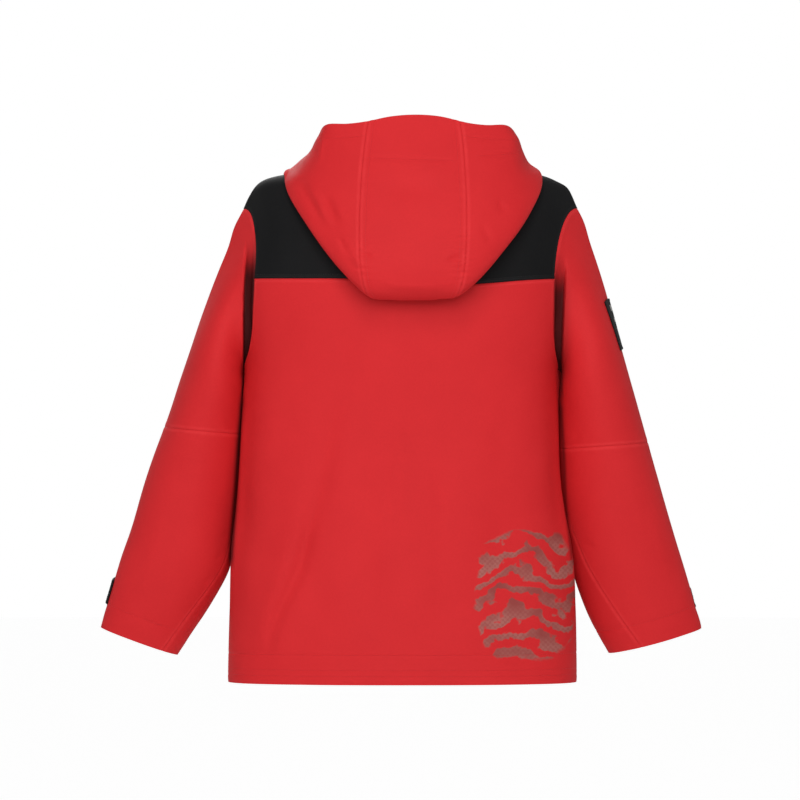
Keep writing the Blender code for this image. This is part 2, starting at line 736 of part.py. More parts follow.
def build_zip_tape(looks, collection):
    """The zip's tape behind the front opening, from the hem to the top of the collar."""
    columns = []
    for side, off in ((-1, TAPE_HALF - ZIP_HALF), (-1, 0.0), (1, 0.0), (1, TAPE_HALF - ZIP_HALF)):
        word = "left" if side > 0 else "right"
        body = beside_zip(f"front_{word}", off)
        yoke = beside_zip(f"front_yoke_{word}", off)
        hood = beside_zip(f"hood_{word}", off)
        columns.append(body[:-1] + yoke + hood[1:12] + hood[12::3])
    front, back = [], []
    for row in zip(*columns):
        front.append([p + way * TAPE_GAP for p, way in row])
        back.append([p + way * (TAPE_GAP + TAPE_THICK) for p, way in row])
    for skin in (front, back):
        skin[0] = [p + TAPE_END * unit(q - p) for p, q in zip(skin[0], skin[1])]
        skin[-1] = [p + TAPE_END * unit(q - p) for p, q in zip(skin[-1], skin[-2])]
    cloth_wall("front_zip", front, back, looks["black_trim"], collection)


def slider_face():
    """Middle of the slider's front face, mm."""
    low, high = 0.5, 1.0
    for _ in range(24):
        half = (low + high) / 2
        low, high = (half, high) if hood_profile(1, 1.0, half)[2] < SLIDER_Z else (low, half)
    panel = hood_profile(1, 1.0, low)
    return np.array([TOP_CENTRE_X, panel[1] - SLIDER_PROUD, SLIDER_Z])


def boxed(name, middle, size, bevel, look, collection):
    shape = bmesh.new()
    bmesh.ops.create_cube(shape, size=1.0)
    bmesh.ops.scale(shape, vec=Vector(size) * MM, verts=shape.verts)
    bmesh.ops.translate(shape, vec=Vector(middle) * MM, verts=shape.verts)
    bmesh.ops.bevel(shape, geom=shape.edges[:], offset=bevel * MM, segments=2, affect="EDGES", profile=0.5)
    mesh = bpy.data.meshes.new(name)
    shape.to_mesh(mesh)
    shape.free()
    return new_object(name, mesh, look, collection)


def build_slider(looks, collection):
    """The slider at the top of the zip, with a bridge that carries the pull."""
    face = slider_face()
    middle = face + np.array([0.0, SLIDER[1] / 2, 0.0])
    slider = boxed("zip_slider", middle, SLIDER, 0.9, looks["dark_metal"], collection)
    path = [(1.0, -BRIDGE_RADIUS), (-BRIDGE_LEGS, -BRIDGE_RADIUS)]
    turns = np.radians(np.linspace(-90, 90, 7))[1:-1]
    path += [(-BRIDGE_LEGS - BRIDGE_RADIUS * math.cos(a), BRIDGE_RADIUS * math.sin(a)) for a in turns]
    path += [(-BRIDGE_LEGS, BRIDGE_RADIUS), (1.0, BRIDGE_RADIUS)]
    bridge = swept_bar("bridge", [face + np.array([0.0, y, z]) for y, z in path], BRIDGE_BAR, collection)
    join = slider.modifiers.new("bridge", "BOOLEAN")
    join.operation = "UNION"
    join.solver = "EXACT"
    join.object = bridge
    shown = slider.evaluated_get(bpy.context.evaluated_depsgraph_get())
    mesh = bpy.data.meshes.new_from_object(shown)
    slider.modifiers.clear()
    slider.data = mesh
    bpy.data.objects.remove(bridge)


def swept_bar(name, points, radius, collection):
    """Eight-sided bar along points that all lie in one plane across X."""
    shape = bmesh.new()
    rings = []
    for i, point in enumerate(points):
        ahead = points[min(i + 1, len(points) - 1)] - points[max(i - 1, 0)]
        side = unit(np.cross(ahead, np.array([1.0, 0.0, 0.0])))
        ring = []
        for k in range(8):
            turn = math.pi * (k + 0.5) / 4
            off = math.cos(turn) * np.array([1.0, 0.0, 0.0]) + math.sin(turn) * side
            spot = point + radius * off
            ring.append(shape.verts.new(Vector(spot) * MM))
        rings.append(ring)
    for a, b in zip(rings, rings[1:]):
        for k in range(8):
            shape.faces.new((a[k], a[(k + 1) % 8], b[(k + 1) % 8], b[k]))
    shape.faces.new(rings[0])
    shape.faces.new(rings[-1])
    bmesh.ops.recalc_face_normals(shape, faces=shape.faces)
    mesh = bpy.data.meshes.new(name)
    shape.to_mesh(mesh)
    shape.free()
    made = bpy.data.objects.new(name, mesh)
    collection.objects.link(made)
    return made


def build_pull(looks, collection):
    """The pull: a flat plate with a window at its top, round the slider's bridge."""
    face = slider_face()
    axis = face + np.array([0.0, -HINGE_OFF, 0.0])
    half, rim, top = PULL[0] / 2, PULL_RIM, PULL_RIM / 2
    across = (-half, -half + rim, half - rim, half)
    down = (top, -top, -top - PULL_WINDOW, -PULL[2] * 0.8, -PULL[2])
    taper = (1.0, 1.0, 1.0, 1.0, 0.72)
    shape = bmesh.new()
    grid = []
    for z, k in zip(down, taper):
        spots = [axis + np.array([x * k, PULL[1] / 2, z]) for x in across]
        grid.append([shape.verts.new(Vector(spot) * MM) for spot in spots])
    for i in range(len(down) - 1):
        for j in range(3):
            if (i, j) != (1, 1):
                shape.faces.new((grid[i][j], grid[i][j + 1], grid[i + 1][j + 1], grid[i + 1][j]))
    plate = bmesh.ops.extrude_face_region(shape, geom=shape.faces[:])
    moved = [v for v in plate["geom"] if isinstance(v, bmesh.types.BMVert)]
    bmesh.ops.translate(shape, vec=(0.0, -PULL[1] * MM, 0.0), verts=moved)
    bmesh.ops.recalc_face_normals(shape, faces=shape.faces)
    edges = [e for e in shape.edges if e.calc_face_angle(0.0) > 1.0]
    bmesh.ops.bevel(shape, geom=edges, offset=0.25 * MM, segments=1, affect="EDGES")
    mesh = bpy.data.meshes.new("zip_pull")
    shape.to_mesh(mesh)
    shape.free()
    new_object("zip_pull", mesh, looks["dark_metal"], collection)


def main():
    for item in list(bpy.data.objects):
        bpy.data.objects.remove(item)
    collection = bpy.data.collections.new(GARMENT)
    bpy.context.scene.collection.children.link(collection)
    looks = {
        "red_shell": material("red_shell", (0.62, 0.022, 0.028), 0.7),
        "black_shell": material("black_shell", (0.012, 0.012, 0.013), 0.7),
        "black_trim": material("black_trim", (0.01, 0.01, 0.011), 0.6),
        "dark_metal": material("dark_metal", (0.08, 0.08, 0.085), 0.35, 1.0),
    }
    body = [build_back(looks, collection), build_back_yoke(looks, collection)]
    for side in (1, -1):
        body.append(build_front(side, looks, collection))
        body.append(build_front_yoke(side, looks, collection))
        build_sleeve(side, looks, collection)
        build_cuff_tab(side, looks, collection)
    build_hood(looks, collection, body)
    build_patch(looks, collection)
    build_zip_tape(looks, collection)
    build_slider(looks, collection)
    build_pull(looks, collection)


main()
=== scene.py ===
"""Looks of a hooded shell jacket, filled out as worn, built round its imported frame.

Axes are the frame's: +Z up, the front faces -Y and the wearer's left is +X. Tables are in
millimetres, and every mesh is in metres. Each cloth piece is a thin wall on its panel's form,
with its folds, seams and topstitching; stitches and zip teeth are made by geometry nodes.
"""

from __future__ import annotations

import json
import logging
import math
from dataclasses import dataclass, field
from enum import Enum
from typing import Callable, Sequence

import bpy
import numpy as np
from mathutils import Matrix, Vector
from mathutils.bvhtree import BVHTree

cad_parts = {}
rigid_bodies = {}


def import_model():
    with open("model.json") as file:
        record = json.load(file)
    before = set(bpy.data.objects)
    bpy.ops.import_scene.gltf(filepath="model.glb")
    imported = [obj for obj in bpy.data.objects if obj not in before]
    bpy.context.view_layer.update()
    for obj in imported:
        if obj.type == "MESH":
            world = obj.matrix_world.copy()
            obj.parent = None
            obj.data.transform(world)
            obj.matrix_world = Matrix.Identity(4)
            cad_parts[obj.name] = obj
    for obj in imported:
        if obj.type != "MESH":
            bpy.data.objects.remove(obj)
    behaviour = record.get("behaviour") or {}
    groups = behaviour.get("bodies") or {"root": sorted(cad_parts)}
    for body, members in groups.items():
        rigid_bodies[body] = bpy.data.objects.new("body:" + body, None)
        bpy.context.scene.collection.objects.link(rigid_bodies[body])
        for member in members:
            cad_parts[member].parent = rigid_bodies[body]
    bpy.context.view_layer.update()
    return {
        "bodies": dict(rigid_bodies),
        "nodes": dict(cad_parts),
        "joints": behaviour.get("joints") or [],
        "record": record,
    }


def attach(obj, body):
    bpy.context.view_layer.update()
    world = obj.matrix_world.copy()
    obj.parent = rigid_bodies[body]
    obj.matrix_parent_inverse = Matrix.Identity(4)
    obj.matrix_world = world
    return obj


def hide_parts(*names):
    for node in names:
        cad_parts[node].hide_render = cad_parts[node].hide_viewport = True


LOG = logging.getLogger("jacket")
Array = np.ndarray
Pair, Triple = tuple[float, float], tuple[float, float, float]
Look, Piece, Tree = bpy.types.Material, bpy.types.Object, bpy.types.NodeTree

MM = 0.001  # metres in a millimetre
WALL = 2.0  # thickness of the cloth
SEAM = 0.06  # gap between two panels where they are sewn
ZIP_HALF = 5.5  # half the gap between the fronts
STEP = 3.6  # spacing of the cloth's points
FINE_STEP = 2.2  # the same where the cloth bends more
CLOSE_TO_ENDS = (0.7, 1.7)  # extra points, in from a piece's ends
CLOSE_TO_LINES = (-2.0, -0.8, 0.0, 0.8, 2.0)  # extra points about a stitched line
CROWDED = 0.6  # a usual point nearer than this to an extra one is left out
ARMHOLE_ROWS = 40  # points up each half of an armhole, to the yoke seam and above it
NO_SEAM = 99.0  # distance from the seams of a piece that has none


class Face(Enum):
    """Which way a part of the garment faces."""

    BACK = 1
    FRONT = -1


class Side(Enum):
    """The wearer's side."""

    LEFT = 1
    RIGHT = -1

    @property
    def word(self) -> str:
        """The side as part of a piece's name."""
        return self.name.lower()


class Edge(Enum):
    """An edge of a panel's grid: rows run from LOW to HIGH, columns from FIRST to LAST."""

    LOW = "low"
    HIGH = "high"
    FIRST = "first"
    LAST = "last"


# ---------------------------------------------------------------- small maths
def hermite(start: Array, start_pull: Array, end: Array, end_pull: Array, t: Array) -> Array:
    """Cubic from start to end.

    Args:
        start: where it leaves.
        start_pull: the way it leaves.
        end: where it arrives.
        end_pull: the way it arrives.
        t: 0 at the start, 1 at the end.

    Returns:
        The points at t.
    """
    return (
        (2 * t**3 - 3 * t**2 + 1) * start
        + (t**3 - 2 * t**2 + t) * start_pull
        + (3 * t**2 - 2 * t**3) * end
        + (t**3 - t**2) * end_pull
    )


def curve_through(keys: Sequence[float], values: Sequence, at: Array) -> Array:
    """Smooth curve through rows of values.

    Args:
        keys: where each row of values stands.
        values: the rows.
        at: where the curve is wanted.

    Returns:
        One row of values for each place in at.
    """
    keys = np.asarray(keys, float)
    values = np.asarray(values, float)
    at = np.asarray(at, float)
    slopes = np.gradient(values, keys, axis=0)
    i = np.clip(np.searchsorted(keys, at) - 1, 0, len(keys) - 2)
    step = (keys[i + 1] - keys[i])[..., None]
    t = (at[..., None] - keys[i][..., None]) / step
    return hermite(values[i], slopes[i] * step, values[i + 1], slopes[i + 1] * step, t)


def ease(t: Array) -> Array:
    """0 to 1 with flat ends."""
    t = np.clip(t, 0.0, 1.0)
    return t * t * (3 - 2 * t)


def unit(v: Array) -> Array:
    """The vectors at length 1."""
    return v / np.maximum(np.linalg.norm(v, axis=-1, keepdims=True), 1e-9)


def vec(x: Array, y: Array, z: Array) -> Array:
    """Points or directions from their three coordinates."""
    return np.stack(np.broadcast_arrays(x, y, z), axis=-1).astype(float)


def slope(function: Callable[[Array], Array], at: Array, step: float) -> Array:
    """Slope of a point function of one number."""
    return (function(at + step) - function(at - step)) / (2 * step)


def grid_normals(points: Array) -> Array:
    """Unit normals of a grid of points, from the differences between neighbours."""
    return unit(np.cross(np.gradient(points, axis=1), np.gradient(points, axis=0)))


def lengths_along(points: Array) -> Array:
    """How far along a line each of its points lies."""
    return np.concatenate([[0.0], np.cumsum(np.linalg.norm(np.diff(points, axis=0), axis=1))])


def grid_faces(points: Array, normals: Array) -> Array:
    """The faces of a grid of points.

    Args:
        points: the grid.
        normals: which way is out at each point.

    Returns:
        The four corners of each face, numbered row by row, and turned outwards.
    """
    rows, cols = points.shape[:2]
    index = np.arange(rows * cols).reshape(rows, cols)
    quads = [index[:-1, :-1], index[:-1, 1:], index[1:, 1:], index[1:, :-1]]
    faces = np.stack(quads, axis=-1).reshape(-1, 4)
    return faces[:, ::-1] if np.sum(grid_normals(points) * normals) < 0 else faces


def bump(distance: Array, width: float) -> Array:
    """Bell of height 1 that is gone about two widths away."""
    return np.exp(-((distance / width) ** 2))


def spread(length: float, focus: Sequence[float] = (), step: float = STEP) -> Array:
    """Places along a piece, close together at its ends and at chosen distances.

    Args:
        length: the piece's length, mm.
        focus: distances from the start, mm, that get closer places.
        step: usual spacing, mm.

    Returns:
        Shares of the length, from 0 to 1.
    """
    steps = max(2, round(length / step))
    places = list(np.linspace(0, length, steps + 1))
    near = [*CLOSE_TO_ENDS, *(length - off for off in reversed(CLOSE_TO_ENDS))]
    for middle in focus:
        near += [middle + off for off in CLOSE_TO_LINES]
    for extra in near:
        places = [p for p in places if abs(p - extra) > CROWDED or p in (0.0, length)]
        if CROWDED / 2 < extra < length - CROWDED / 2:
            places.append(extra)
    return np.array(sorted(places)) / length


# ---------------------------------------------------------------- the garment's surfaces
@dataclass(frozen=True)
class BodyFold:
    """A soft fold down the body, in mm: angle is in degrees round it from the left side seam.

    It runs from low to high and turns by drift on the way.
    """

    angle: float
    depth: float
    width: float
    low: float
    high: float
    drift: float


@dataclass(frozen=True)
class BodyShape:
    """The body from hem to yokes: sections of height, centre, half width, back and front depth.

    power squares the sections off, and starts and ends say how fast a fold deepens and fades.
    """

    hem: float = -710.5
    underarm: float = -290.0
    yoke_seam: float = -165.0
    power: float = 2.5
    armhole_middle: float = -181.0
    armhole_half_depth: float = 70.0
    starts: float = 4.0
    ends: float = 1.6
    sections: tuple = (
        (-710.5, -0.8, 234.8, 130, 138),
        (-654, -0.6, 234.2, 128, 137),
        (-580, -0.4, 231.6, 126, 136),
        (-520, 0.9, 226.2, 124, 135),
        (-479, 1.4, 221.2, 123, 135),
        (-438, 1.9, 217.9, 122, 135),
        (-385, 1.8, 215.1, 121, 136.5),
        (-330, 1.6, 212, 121.5, 139),
        (-290, 0.4, 210, 122.5, 140.5),
        (-248, -0.5, 215.5, 124, 141),
        (-205, -1.5, 222.5, 124.5, 140),
        (-165, -3, 224, 123, 138),
        (-140, -5, 224, 121, 136),
    )
    folds: tuple[BodyFold, ...] = (
        BodyFold(38, 4, 9, -711.5, -430, 14),
        BodyFold(72, 2.5, 8, -660, -260, -6),
        BodyFold(112, 2.5, 9, -690, -330, 5),
        BodyFold(148, 3, 8, -711.5, -420, -8),
        BodyFold(-40, 4, 9, -711.5, -420, -12),
        BodyFold(-142, 3.5, 9, -711.5, -450, 10),
        BodyFold(7.5, -6.5, 4.5, -640, -120, 0),
        BodyFold(172.5, -5, 4.5, -640, -120, 0),
        BodyFold(-7, -9, 5, -410, -222, 0),
        BodyFold(-173, -13, 6.5, -420, -205, 0),
    )

    @property
    def armhole_half_height(self) -> float:
        """Half the armhole's height."""
        return self.armhole_middle - self.underarm

    def section(self, z: Array) -> tuple[Array, Array, Array, Array]:
        """Centre, half width, back and front depth at heights z."""
        rows = curve_through([row[0] for row in self.sections], self.sections, z)
        return rows[..., 1], rows[..., 2], rows[..., 3], rows[..., 4]

    def fold_depth(self, degrees: Array, z: Array) -> Array:
        """How far the folds press the body in. A fold that starts above the hem fades in.

        Args:
            degrees: places round the body from the left side seam.
            z: heights, mm.

        Returns:
            The depth at each place, mm.
        """
        depth = np.zeros(np.broadcast(degrees, z).shape)
        for fold in self.folds:
            share = (z - fold.low) / (fold.high - fold.low)
            off = degrees - fold.angle - fold.drift * share
            begun = ease(share * self.starts) if fold.low > self.hem else 1.0
            pressed = fold.depth * bump(off, fold.width) * ease((1 - share) * self.ends) * begun
            depth += np.where((share >= 0) & (share <= 1), pressed, 0.0)
        return depth

    def point(self, side: Array, angle: Array, z: Array) -> Array:
        """Point of the body.

        Args:
            side: 1 left, -1 right.
            angle: radians from the side seam, back positive.
            z: height, mm.

        Returns:
            The points, mm.
        """
        centre, half_width, back, front = self.section(z)
        depth = np.where(angle > 0, back, front)
        c, s = np.cos(angle), np.sin(angle)
        powers = np.abs(c / half_width) ** self.power + np.abs(s / depth) ** self.power
        degrees = np.degrees(angle)
        from_left = np.where(side > 0, degrees, np.copysign(180, angle) - degrees)
        reach = powers ** (-1 / self.power) - self.fold_depth(from_left, z)
        return vec(centre + side * reach * c, reach * s, z)

    def armhole_angle(self, face: int, z: Array) -> Array:
        """Where the armhole's edge cuts the body at heights z.

        Args:
            face: 1 back, -1 front.
            z: heights, mm.

        Returns:
            Radians from the side seam.
        """
        _, half_width, back, front = self.section(z)
        rise = (z - self.armhole_middle) / self.armhole_half_height
        depth = self.armhole_half_depth * np.sqrt(np.maximum(0.0, 1 - rise * rise))
        full = back if face > 0 else front
        across = half_width * (1 - (depth / full) ** self.power) ** (1 / self.power)
        return face * np.maximum(np.arctan2(depth, across), SEAM / 2 / half_width)

    def centre_angle(self, face: int, z: Array) -> Array:
        """Centre back, or the edge of a front beside the zip."""
        _, half_width, _, front = self.section(z)
        return half_width * 0 + math.pi / 2 if face > 0 else -math.pi / 2 + ZIP_HALF / front

    def edge_angle(self, face: int, z: Array) -> Array:
        """Where a panel begins: at the side seam, or above it at the armhole."""
        at_seam = face * SEAM / 2 / self.section(z)[1]
        return np.where(z > self.underarm, self.armhole_angle(face, z), at_seam)

    def armhole_heights(self, rows: int) -> Array:
        """Heights from the underarm to the yoke seam, close together where the armhole turns."""
        top = math.asin((self.yoke_seam - self.armhole_middle) / self.armhole_half_height)
        turns = np.linspace(-math.pi / 2, top, rows + 1)
        return self.armhole_middle + self.armhole_half_height * np.sin(turns)


@dataclass(frozen=True)
class YokeShape:
    """The yokes over the shoulders: ridge rows are share along, x off the middle and z.

    The cloth crosses the shoulder seam leaning out by lean, which is gone at lean_share, and
    rises to the neck along back_rise or front_rise.
    """

    body: BodyShape = BodyShape()
    centre_x: float = -10.5
    neck_half_width: float = 88.0
    neck_back: float = 72.0
    neck_front: float = 102.0
    back_drop: float = 15.0
    front_drop: float = 78.0
    neck_share: float = 0.56
    lean: float = 0.55
    lean_share: float = 0.25
    back_rise: Triple = (0.0, -0.45, 0.9)
    front_rise: Triple = (0.0, 0.3, 0.95)
    ridge: tuple = (
        (0.000, 224.5, -72),
        (0.100, 219, -58.5),
        (0.225, 208.5, -44),
        (0.320, 196, -35.5),
        (0.480, 173, -26),
        (0.740, 131, -12),
        (1.000, 88, 0),
    )

    def neckline(self, side: int, face: int, share: Array) -> Array:
        """The neckline round one quarter.

        Args:
            side: 1 left, -1 right.
            face: 1 back, -1 front.
            share: 0 at the shoulder seam, 1 at centre back or the zip.

        Returns:
            The points, mm.
        """
        quarter = math.pi / 2 if face > 0 else math.acos(ZIP_HALF / self.neck_half_width)
        turn = share * quarter
        depth = self.neck_back if face > 0 else -self.neck_front
        drop = self.back_drop if face > 0 else self.front_drop
        x = self.centre_x + side * self.neck_half_width * np.cos(turn)
        return vec(x, depth * np.sin(turn), -drop * (1 - np.cos(turn)))

    def top_line(self, side: int, face: int, s: Array) -> Array:
        """Top edge of a yoke: the shoulder seam, then the neckline.

        Args:
            side: 1 left, -1 right.
            face: 1 back, -1 front.
            s: 0 at the armhole, 1 at the centre.

        Returns:
            The points, mm.
        """
        rows = curve_through([r[0] for r in self.ridge], self.ridge, s / self.neck_share)
        shoulder = vec(self.centre_x + side * rows[..., 1], 0.0, rows[..., 2])
        neck = self.neckline(side, face, (s - self.neck_share) / (1 - self.neck_share))
        return np.where((s < self.neck_share)[..., None], shoulder, neck)

    def top_direction(self, side: int, face: int, s: Array) -> Array:
        """Which way the yoke's cloth runs as it reaches its top edge.

        Args:
            side: 1 left, -1 right.
            face: 1 back, -1 front.
            s: 0 at the armhole, 1 at the centre.

        Returns:
            The directions, at length 1.
        """
        over_shoulder = vec(side * self.lean * ease(1 - s / self.lean_share), -face, 0.0)
        up = np.array(self.back_rise if face > 0 else self.front_rise)
        to_neck = ease((s - self.neck_share) / (1 - self.neck_share))[..., None]
        return unit(over_shoulder + (up - over_shoulder) * to_neck)

    def point(self, side: int, face: int, s: Array, t: Array) -> Array:
        """Point of a yoke.

        Args:
            side: 1 left, -1 right.
            face: 1 back, -1 front.
            s: 0 at the armhole, 1 at the centre.
            t: 0 at the yoke seam, 1 at the top edge.

        Returns:
            The points, mm.
        """
        z = np.full(np.shape(s), self.body.yoke_seam)
        edge, centre = self.body.armhole_angle(face, z), self.body.centre_angle(face, z)
        angle = edge + (centre - edge) * s
        start, end = self.body.point(side, angle, z), self.top_line(side, face, s)
        reach = np.linalg.norm(end - start, axis=-1, keepdims=True)
        up = unit(slope(lambda h: self.body.point(side, angle, h), z, 2.0))
        arrive = self.top_direction(side, face, s)
        return hermite(start, up * reach, end, arrive * reach, t[..., None])


@dataclass(frozen=True)
class SleeveShape:
    """One sleeve: rings of inner x and z, outer x and z, middle y, half depth and twist.

    elbow and cuff are places among the rings. across and down are how the way in which the
    cloth leaves the armhole changes round it, by powers of the cosine.
    """

    side: Side
    cuff_tip: float
    rings: tuple
    yoke: YokeShape = YokeShape()
    elbow: float = 1.0
    cuff: float = 6.0
    tip_from: float = 4.0
    across: Triple = (0.8, -0.29, -0.09)
    down: Triple = (0.4, 0.39, 0.14)
    turned: float = -0.5

    def ring_point(self, share: Array, place: Array) -> Array:
        """Point below the armhole.

        Args:
            share: how far round it is from the under seam, 0 to 1.
            place: how far down it is, in rings.

        Returns:
            The points, mm.
        """
        row = curve_through(range(len(self.rings)), self.rings, place)
        inner_x, inner_z, outer_x, outer_z, middle_y, half_depth, twist = np.moveaxis(row, -1, 0)
        turn = math.pi + 2 * math.pi * share - np.radians(twist)
        c, s = np.cos(turn), np.sin(turn)
        x = (inner_x + outer_x) / 2 + c * (outer_x - inner_x) / 2
        z = (inner_z + outer_z) / 2 + c * (outer_z - inner_z) / 2
        z = z - self.cuff_tip * s * ease((place - self.tip_from) / (self.cuff - self.tip_from))
        return vec(self.side.value * x, middle_y + s * half_depth, z)

    def leaves(self, share: Array) -> Array:
        """Which way the cloth leaves the armhole seam."""
        c, s = -np.cos(2 * math.pi * share), -np.sin(2 * math.pi * share)
        across, down = (a + b * c + d * c * c for a, b, d in (self.across, self.down))
        return unit(vec(self.side.value * across, self.turned * s, -down))

    def armhole(self) -> tuple[Array, Array]:
        """The armhole's edge, from the underarm up the front and down the back.

        Returns:
            How far round each point lies, and the points.
        """
        body, side = self.yoke.body, self.side.value
        heights = body.armhole_heights(ARMHOLE_ROWS)[:-1]
        steps = np.linspace(0, 1, ARMHOLE_ROWS + 1)
        corner = np.zeros(len(steps))
        loops = []
        for face in (-1, 1):
            below = body.point(side, body.armhole_angle(face, heights), heights)
            loops.append(np.concatenate([below, self.yoke.point(side, face, corner, steps)]))
        points = np.concatenate([loops[0], loops[1][-2::-1]])
        lengths = lengths_along(points)
        top = len(loops[0]) - 1
        front = 0.5 * lengths[: top + 1] / lengths[top]
        back = 0.5 + 0.5 * (lengths[top + 1 :] - lengths[top]) / (lengths[-1] - lengths[top])
        shares = np.concatenate([front, back])
        edge = points + self.leaves(shares) * SEAM
        edge[0, 1] -= SEAM / 2
        edge[-1, 1] += SEAM / 2
        return shares, edge

    def point(self, share: Array, place: Array) -> Array:
        """Point of the sleeve.

        Args:
            share: how far round it is from the under seam, 0 to 1.
            place: how far down it is: -1 to 0 on the cap above the bicep, then in rings.

        Returns:
            The points, mm.
        """
        shares, edge = self.armhole()
        start = np.stack([np.interp(share, shares, edge[:, k]) for k in range(3)], axis=-1)
        bicep = np.zeros(np.shape(share))
        end = self.ring_point(share, bicep)
        reach = np.linalg.norm(end - start, axis=-1, keepdims=True)
        arrive = unit(slope(lambda p: self.ring_point(share, p), bicep, 0.02))
        t = np.clip(1 + place, 0, 1)[..., None]
        cap = hermite(start, self.leaves(share) * reach, end, arrive * reach, t)
        tube = self.ring_point(share, np.maximum(place, 0))
        return np.where((place < 0)[..., None], cap, tube)


@dataclass(frozen=True)
class HoodShape:
    """The hood, laid back: rows of its fold (the bag's lowest line) and brim (its free edge).

    A row holds: along; fold x, y, z; rise, lean, into, out, lift; brim x, y, z, in, up. The fold
    and the brim stand off the middle by their shifts, less each time along, by the pace and the
    end that shifted gives. The cloth is kept clear of what is under it up to the row rests.
    """

    yoke: YokeShape = YokeShape()
    clear: float = 6.0
    fold_shift: float = -6.5
    brim_shift: float = -8.5
    shifted: tuple[Pair, ...] = ((2.2, 0.75), (2.5, 0.9))
    rests: float = 0.6
    seam_gap: float = 1.3
    bands: int = 24
    seams: Pair = (-1.77, 1.95)
    rows: tuple = (
        (0.00, 0, 152, -198, 110, 120, 90, 205, 60, 0, 84, 50.8, 75, 150),
        (0.09, 34, 151, -197, 108, 118, 89, 201, 60, 35, 84, 48.4, 75, 149),
        (0.17, 63, 149, -192, 105, 115, 88, 190, 60, 67, 83, 42, 75, 145),
        (0.27, 104, 132, -150, 90, 90, 75, 138, 50, 99, 76, 39, 62, 120),
        (0.36, 146, 102, -93, 75, 65, 58, 84, 40, 125, 60, 38, 42, 95),
        (0.45, 172, 55, -45, 60, 42, 38, 36, 30, 131, 36, 27, 24, 60),
        (0.54, 170, 0, -19, 50, 30, 26, 16, 22, 133, 2, 15, 14, 38),
        (0.67, 143, -52, -18, 45, 20, 18, 15, 25, 116, -46, 9, 12, 35),
        (0.80, 93, -93, -35, 40, 12, 12, 10, 25, 82, -84, 0, 8, 30),
        (0.90, 47, -113, -50, 35, 6, 6, 4, 25, 44, -104, -12, 4, 28),
        (1.00, ZIP_HALF, -112, -51, 27, 0, 0, 0, 27, ZIP_HALF, -112, -22, 0, 27),
    )

    def columns(self) -> Array:
        """Column places from centre back to the zip."""
        return np.concatenate([np.linspace(0, 0.5, 7), np.linspace(0.5, 1, 8)[1:]])

    def profile(self, side: int, along: float, b: Array) -> Array:
        """Points up the hood at one place along it.

        Args:
            side: 1 left, -1 right.
            along: 0 at centre back, 1 at the zip.
            b: 0 at the neckline, 0.5 at the fold and 1 at the brim.

        Returns:
            The points, mm.
        """
        beyond = np.array(self.rows[1], float)
        beyond[[0, 1, 9]] *= -1
        rows = (beyond, *self.rows)
        row = curve_through([r[0] for r in rows], rows, along)
        _, fx, fy, fz, rise, lean, into, out_pull, lift, bx, by, bz, b_in, b_up = row
        face, share = (1, 1 - along * 2) if along <= 0.5 else (-1, along * 2 - 1)
        start = self.yoke.neckline(side, face, np.array(share))
        start = start + [0.0, 0.0, SEAM * self.seam_gap]
        shares = (ease(pace * (end - along)) for pace, end in self.shifted)
        off_fold, off_brim = (
            self.yoke.centre_x + off * part
            for off, part in zip((self.fold_shift, self.brim_shift), shares)
        )
        fold = np.array([off_fold + side * fx, fy, fz])
        brim = np.array([off_brim + side * bx, by, bz])
        out = unit(np.array([side * fx, fy + 1.0, 0.0]))
        up = np.array([0.0, 0.0, 1.0])
        arrive = out * into + up * lift * ease(2 * along - 1)
        b = b[:, None]
        under = hermite(start, up * rise + out * lean, fold, arrive, np.minimum(b * 2, 1))
        leave, close = out * out_pull + up * lift, up * b_up - out * b_in
        return np.where(b <= 0.5, under, hermite(fold, leave, brim, close, b * 2 - 1))

    def control(self, tree: BVHTree) -> Array:
        """The whole hood's guiding points, from the right of the zip round to its left.

        Args:
            tree: the outer faces of the cloth that the hood lies over.

        Returns:
            Points in rows from neckline to brim, mm.
        """
        b = np.linspace(0, 1, self.bands + 1)
        halves = {}
        for side in (1, -1):
            half = np.stack([self.profile(side, a, b) for a in self.columns()], axis=1)
            for i in range(1, len(b)):
                if b[i] <= self.rests:
                    clear = self.clear * min(1.0, b[i] * 10)
                    for j in range(half.shape[1] - 1):
                        half[i, j] = kept_off(half[i, j], tree, clear)
            halves[side] = half
        return np.concatenate([halves[-1][:, :0:-1], halves[1]], axis=1)


def kept_off(point: Array, tree: BVHTree, clear: float) -> Array:
    """Keeps a point off some faces.

    Args:
        point: the point, mm.
        tree: the faces.
        clear: the least distance, mm.

    Returns:
        The point, moved out if it was nearer than that or behind them.
    """
    spot = Vector(point) * MM
    near, normal, _, distance = tree.find_nearest(spot)
    outside = (spot - near).dot(normal) > 0
    if outside and distance >= clear * MM:
        return point
    away = (spot - near).normalized() if outside else normal
    return np.array(near + away * clear * MM) / MM


def refined(control: Array, rows: Array, columns: Array) -> Array:
    """Smooth surface through a grid of guiding points.

    Args:
        control: the guiding points.
        rows: the rows that are wanted, between the guiding ones.
        columns: the columns that are wanted.

    Returns:
        The points of the surface.
    """
    count = control.shape[0]
    down = curve_through(range(count), control.reshape(count, -1), rows)
    down = down.reshape(len(rows), -1, 3).transpose(1, 0, 2)
    count = down.shape[0]
    across = curve_through(range(count), down.reshape(count, -1), columns)
    return across.reshape(len(columns), -1, 3).transpose(1, 0, 2)


# ---------------------------------------------------------------- folds in the cloth
DIP, DIP_REACH = 0.3, 2.3  # the dip beside a fold, as a share of its height and of its width
# The second pair fades a fold's painted shade as the cloth turns away.
PRESS_FADE, SHADE_FADE = (2.2, -0.15), (2.5, 0.6)  # fading where the cloth turns away


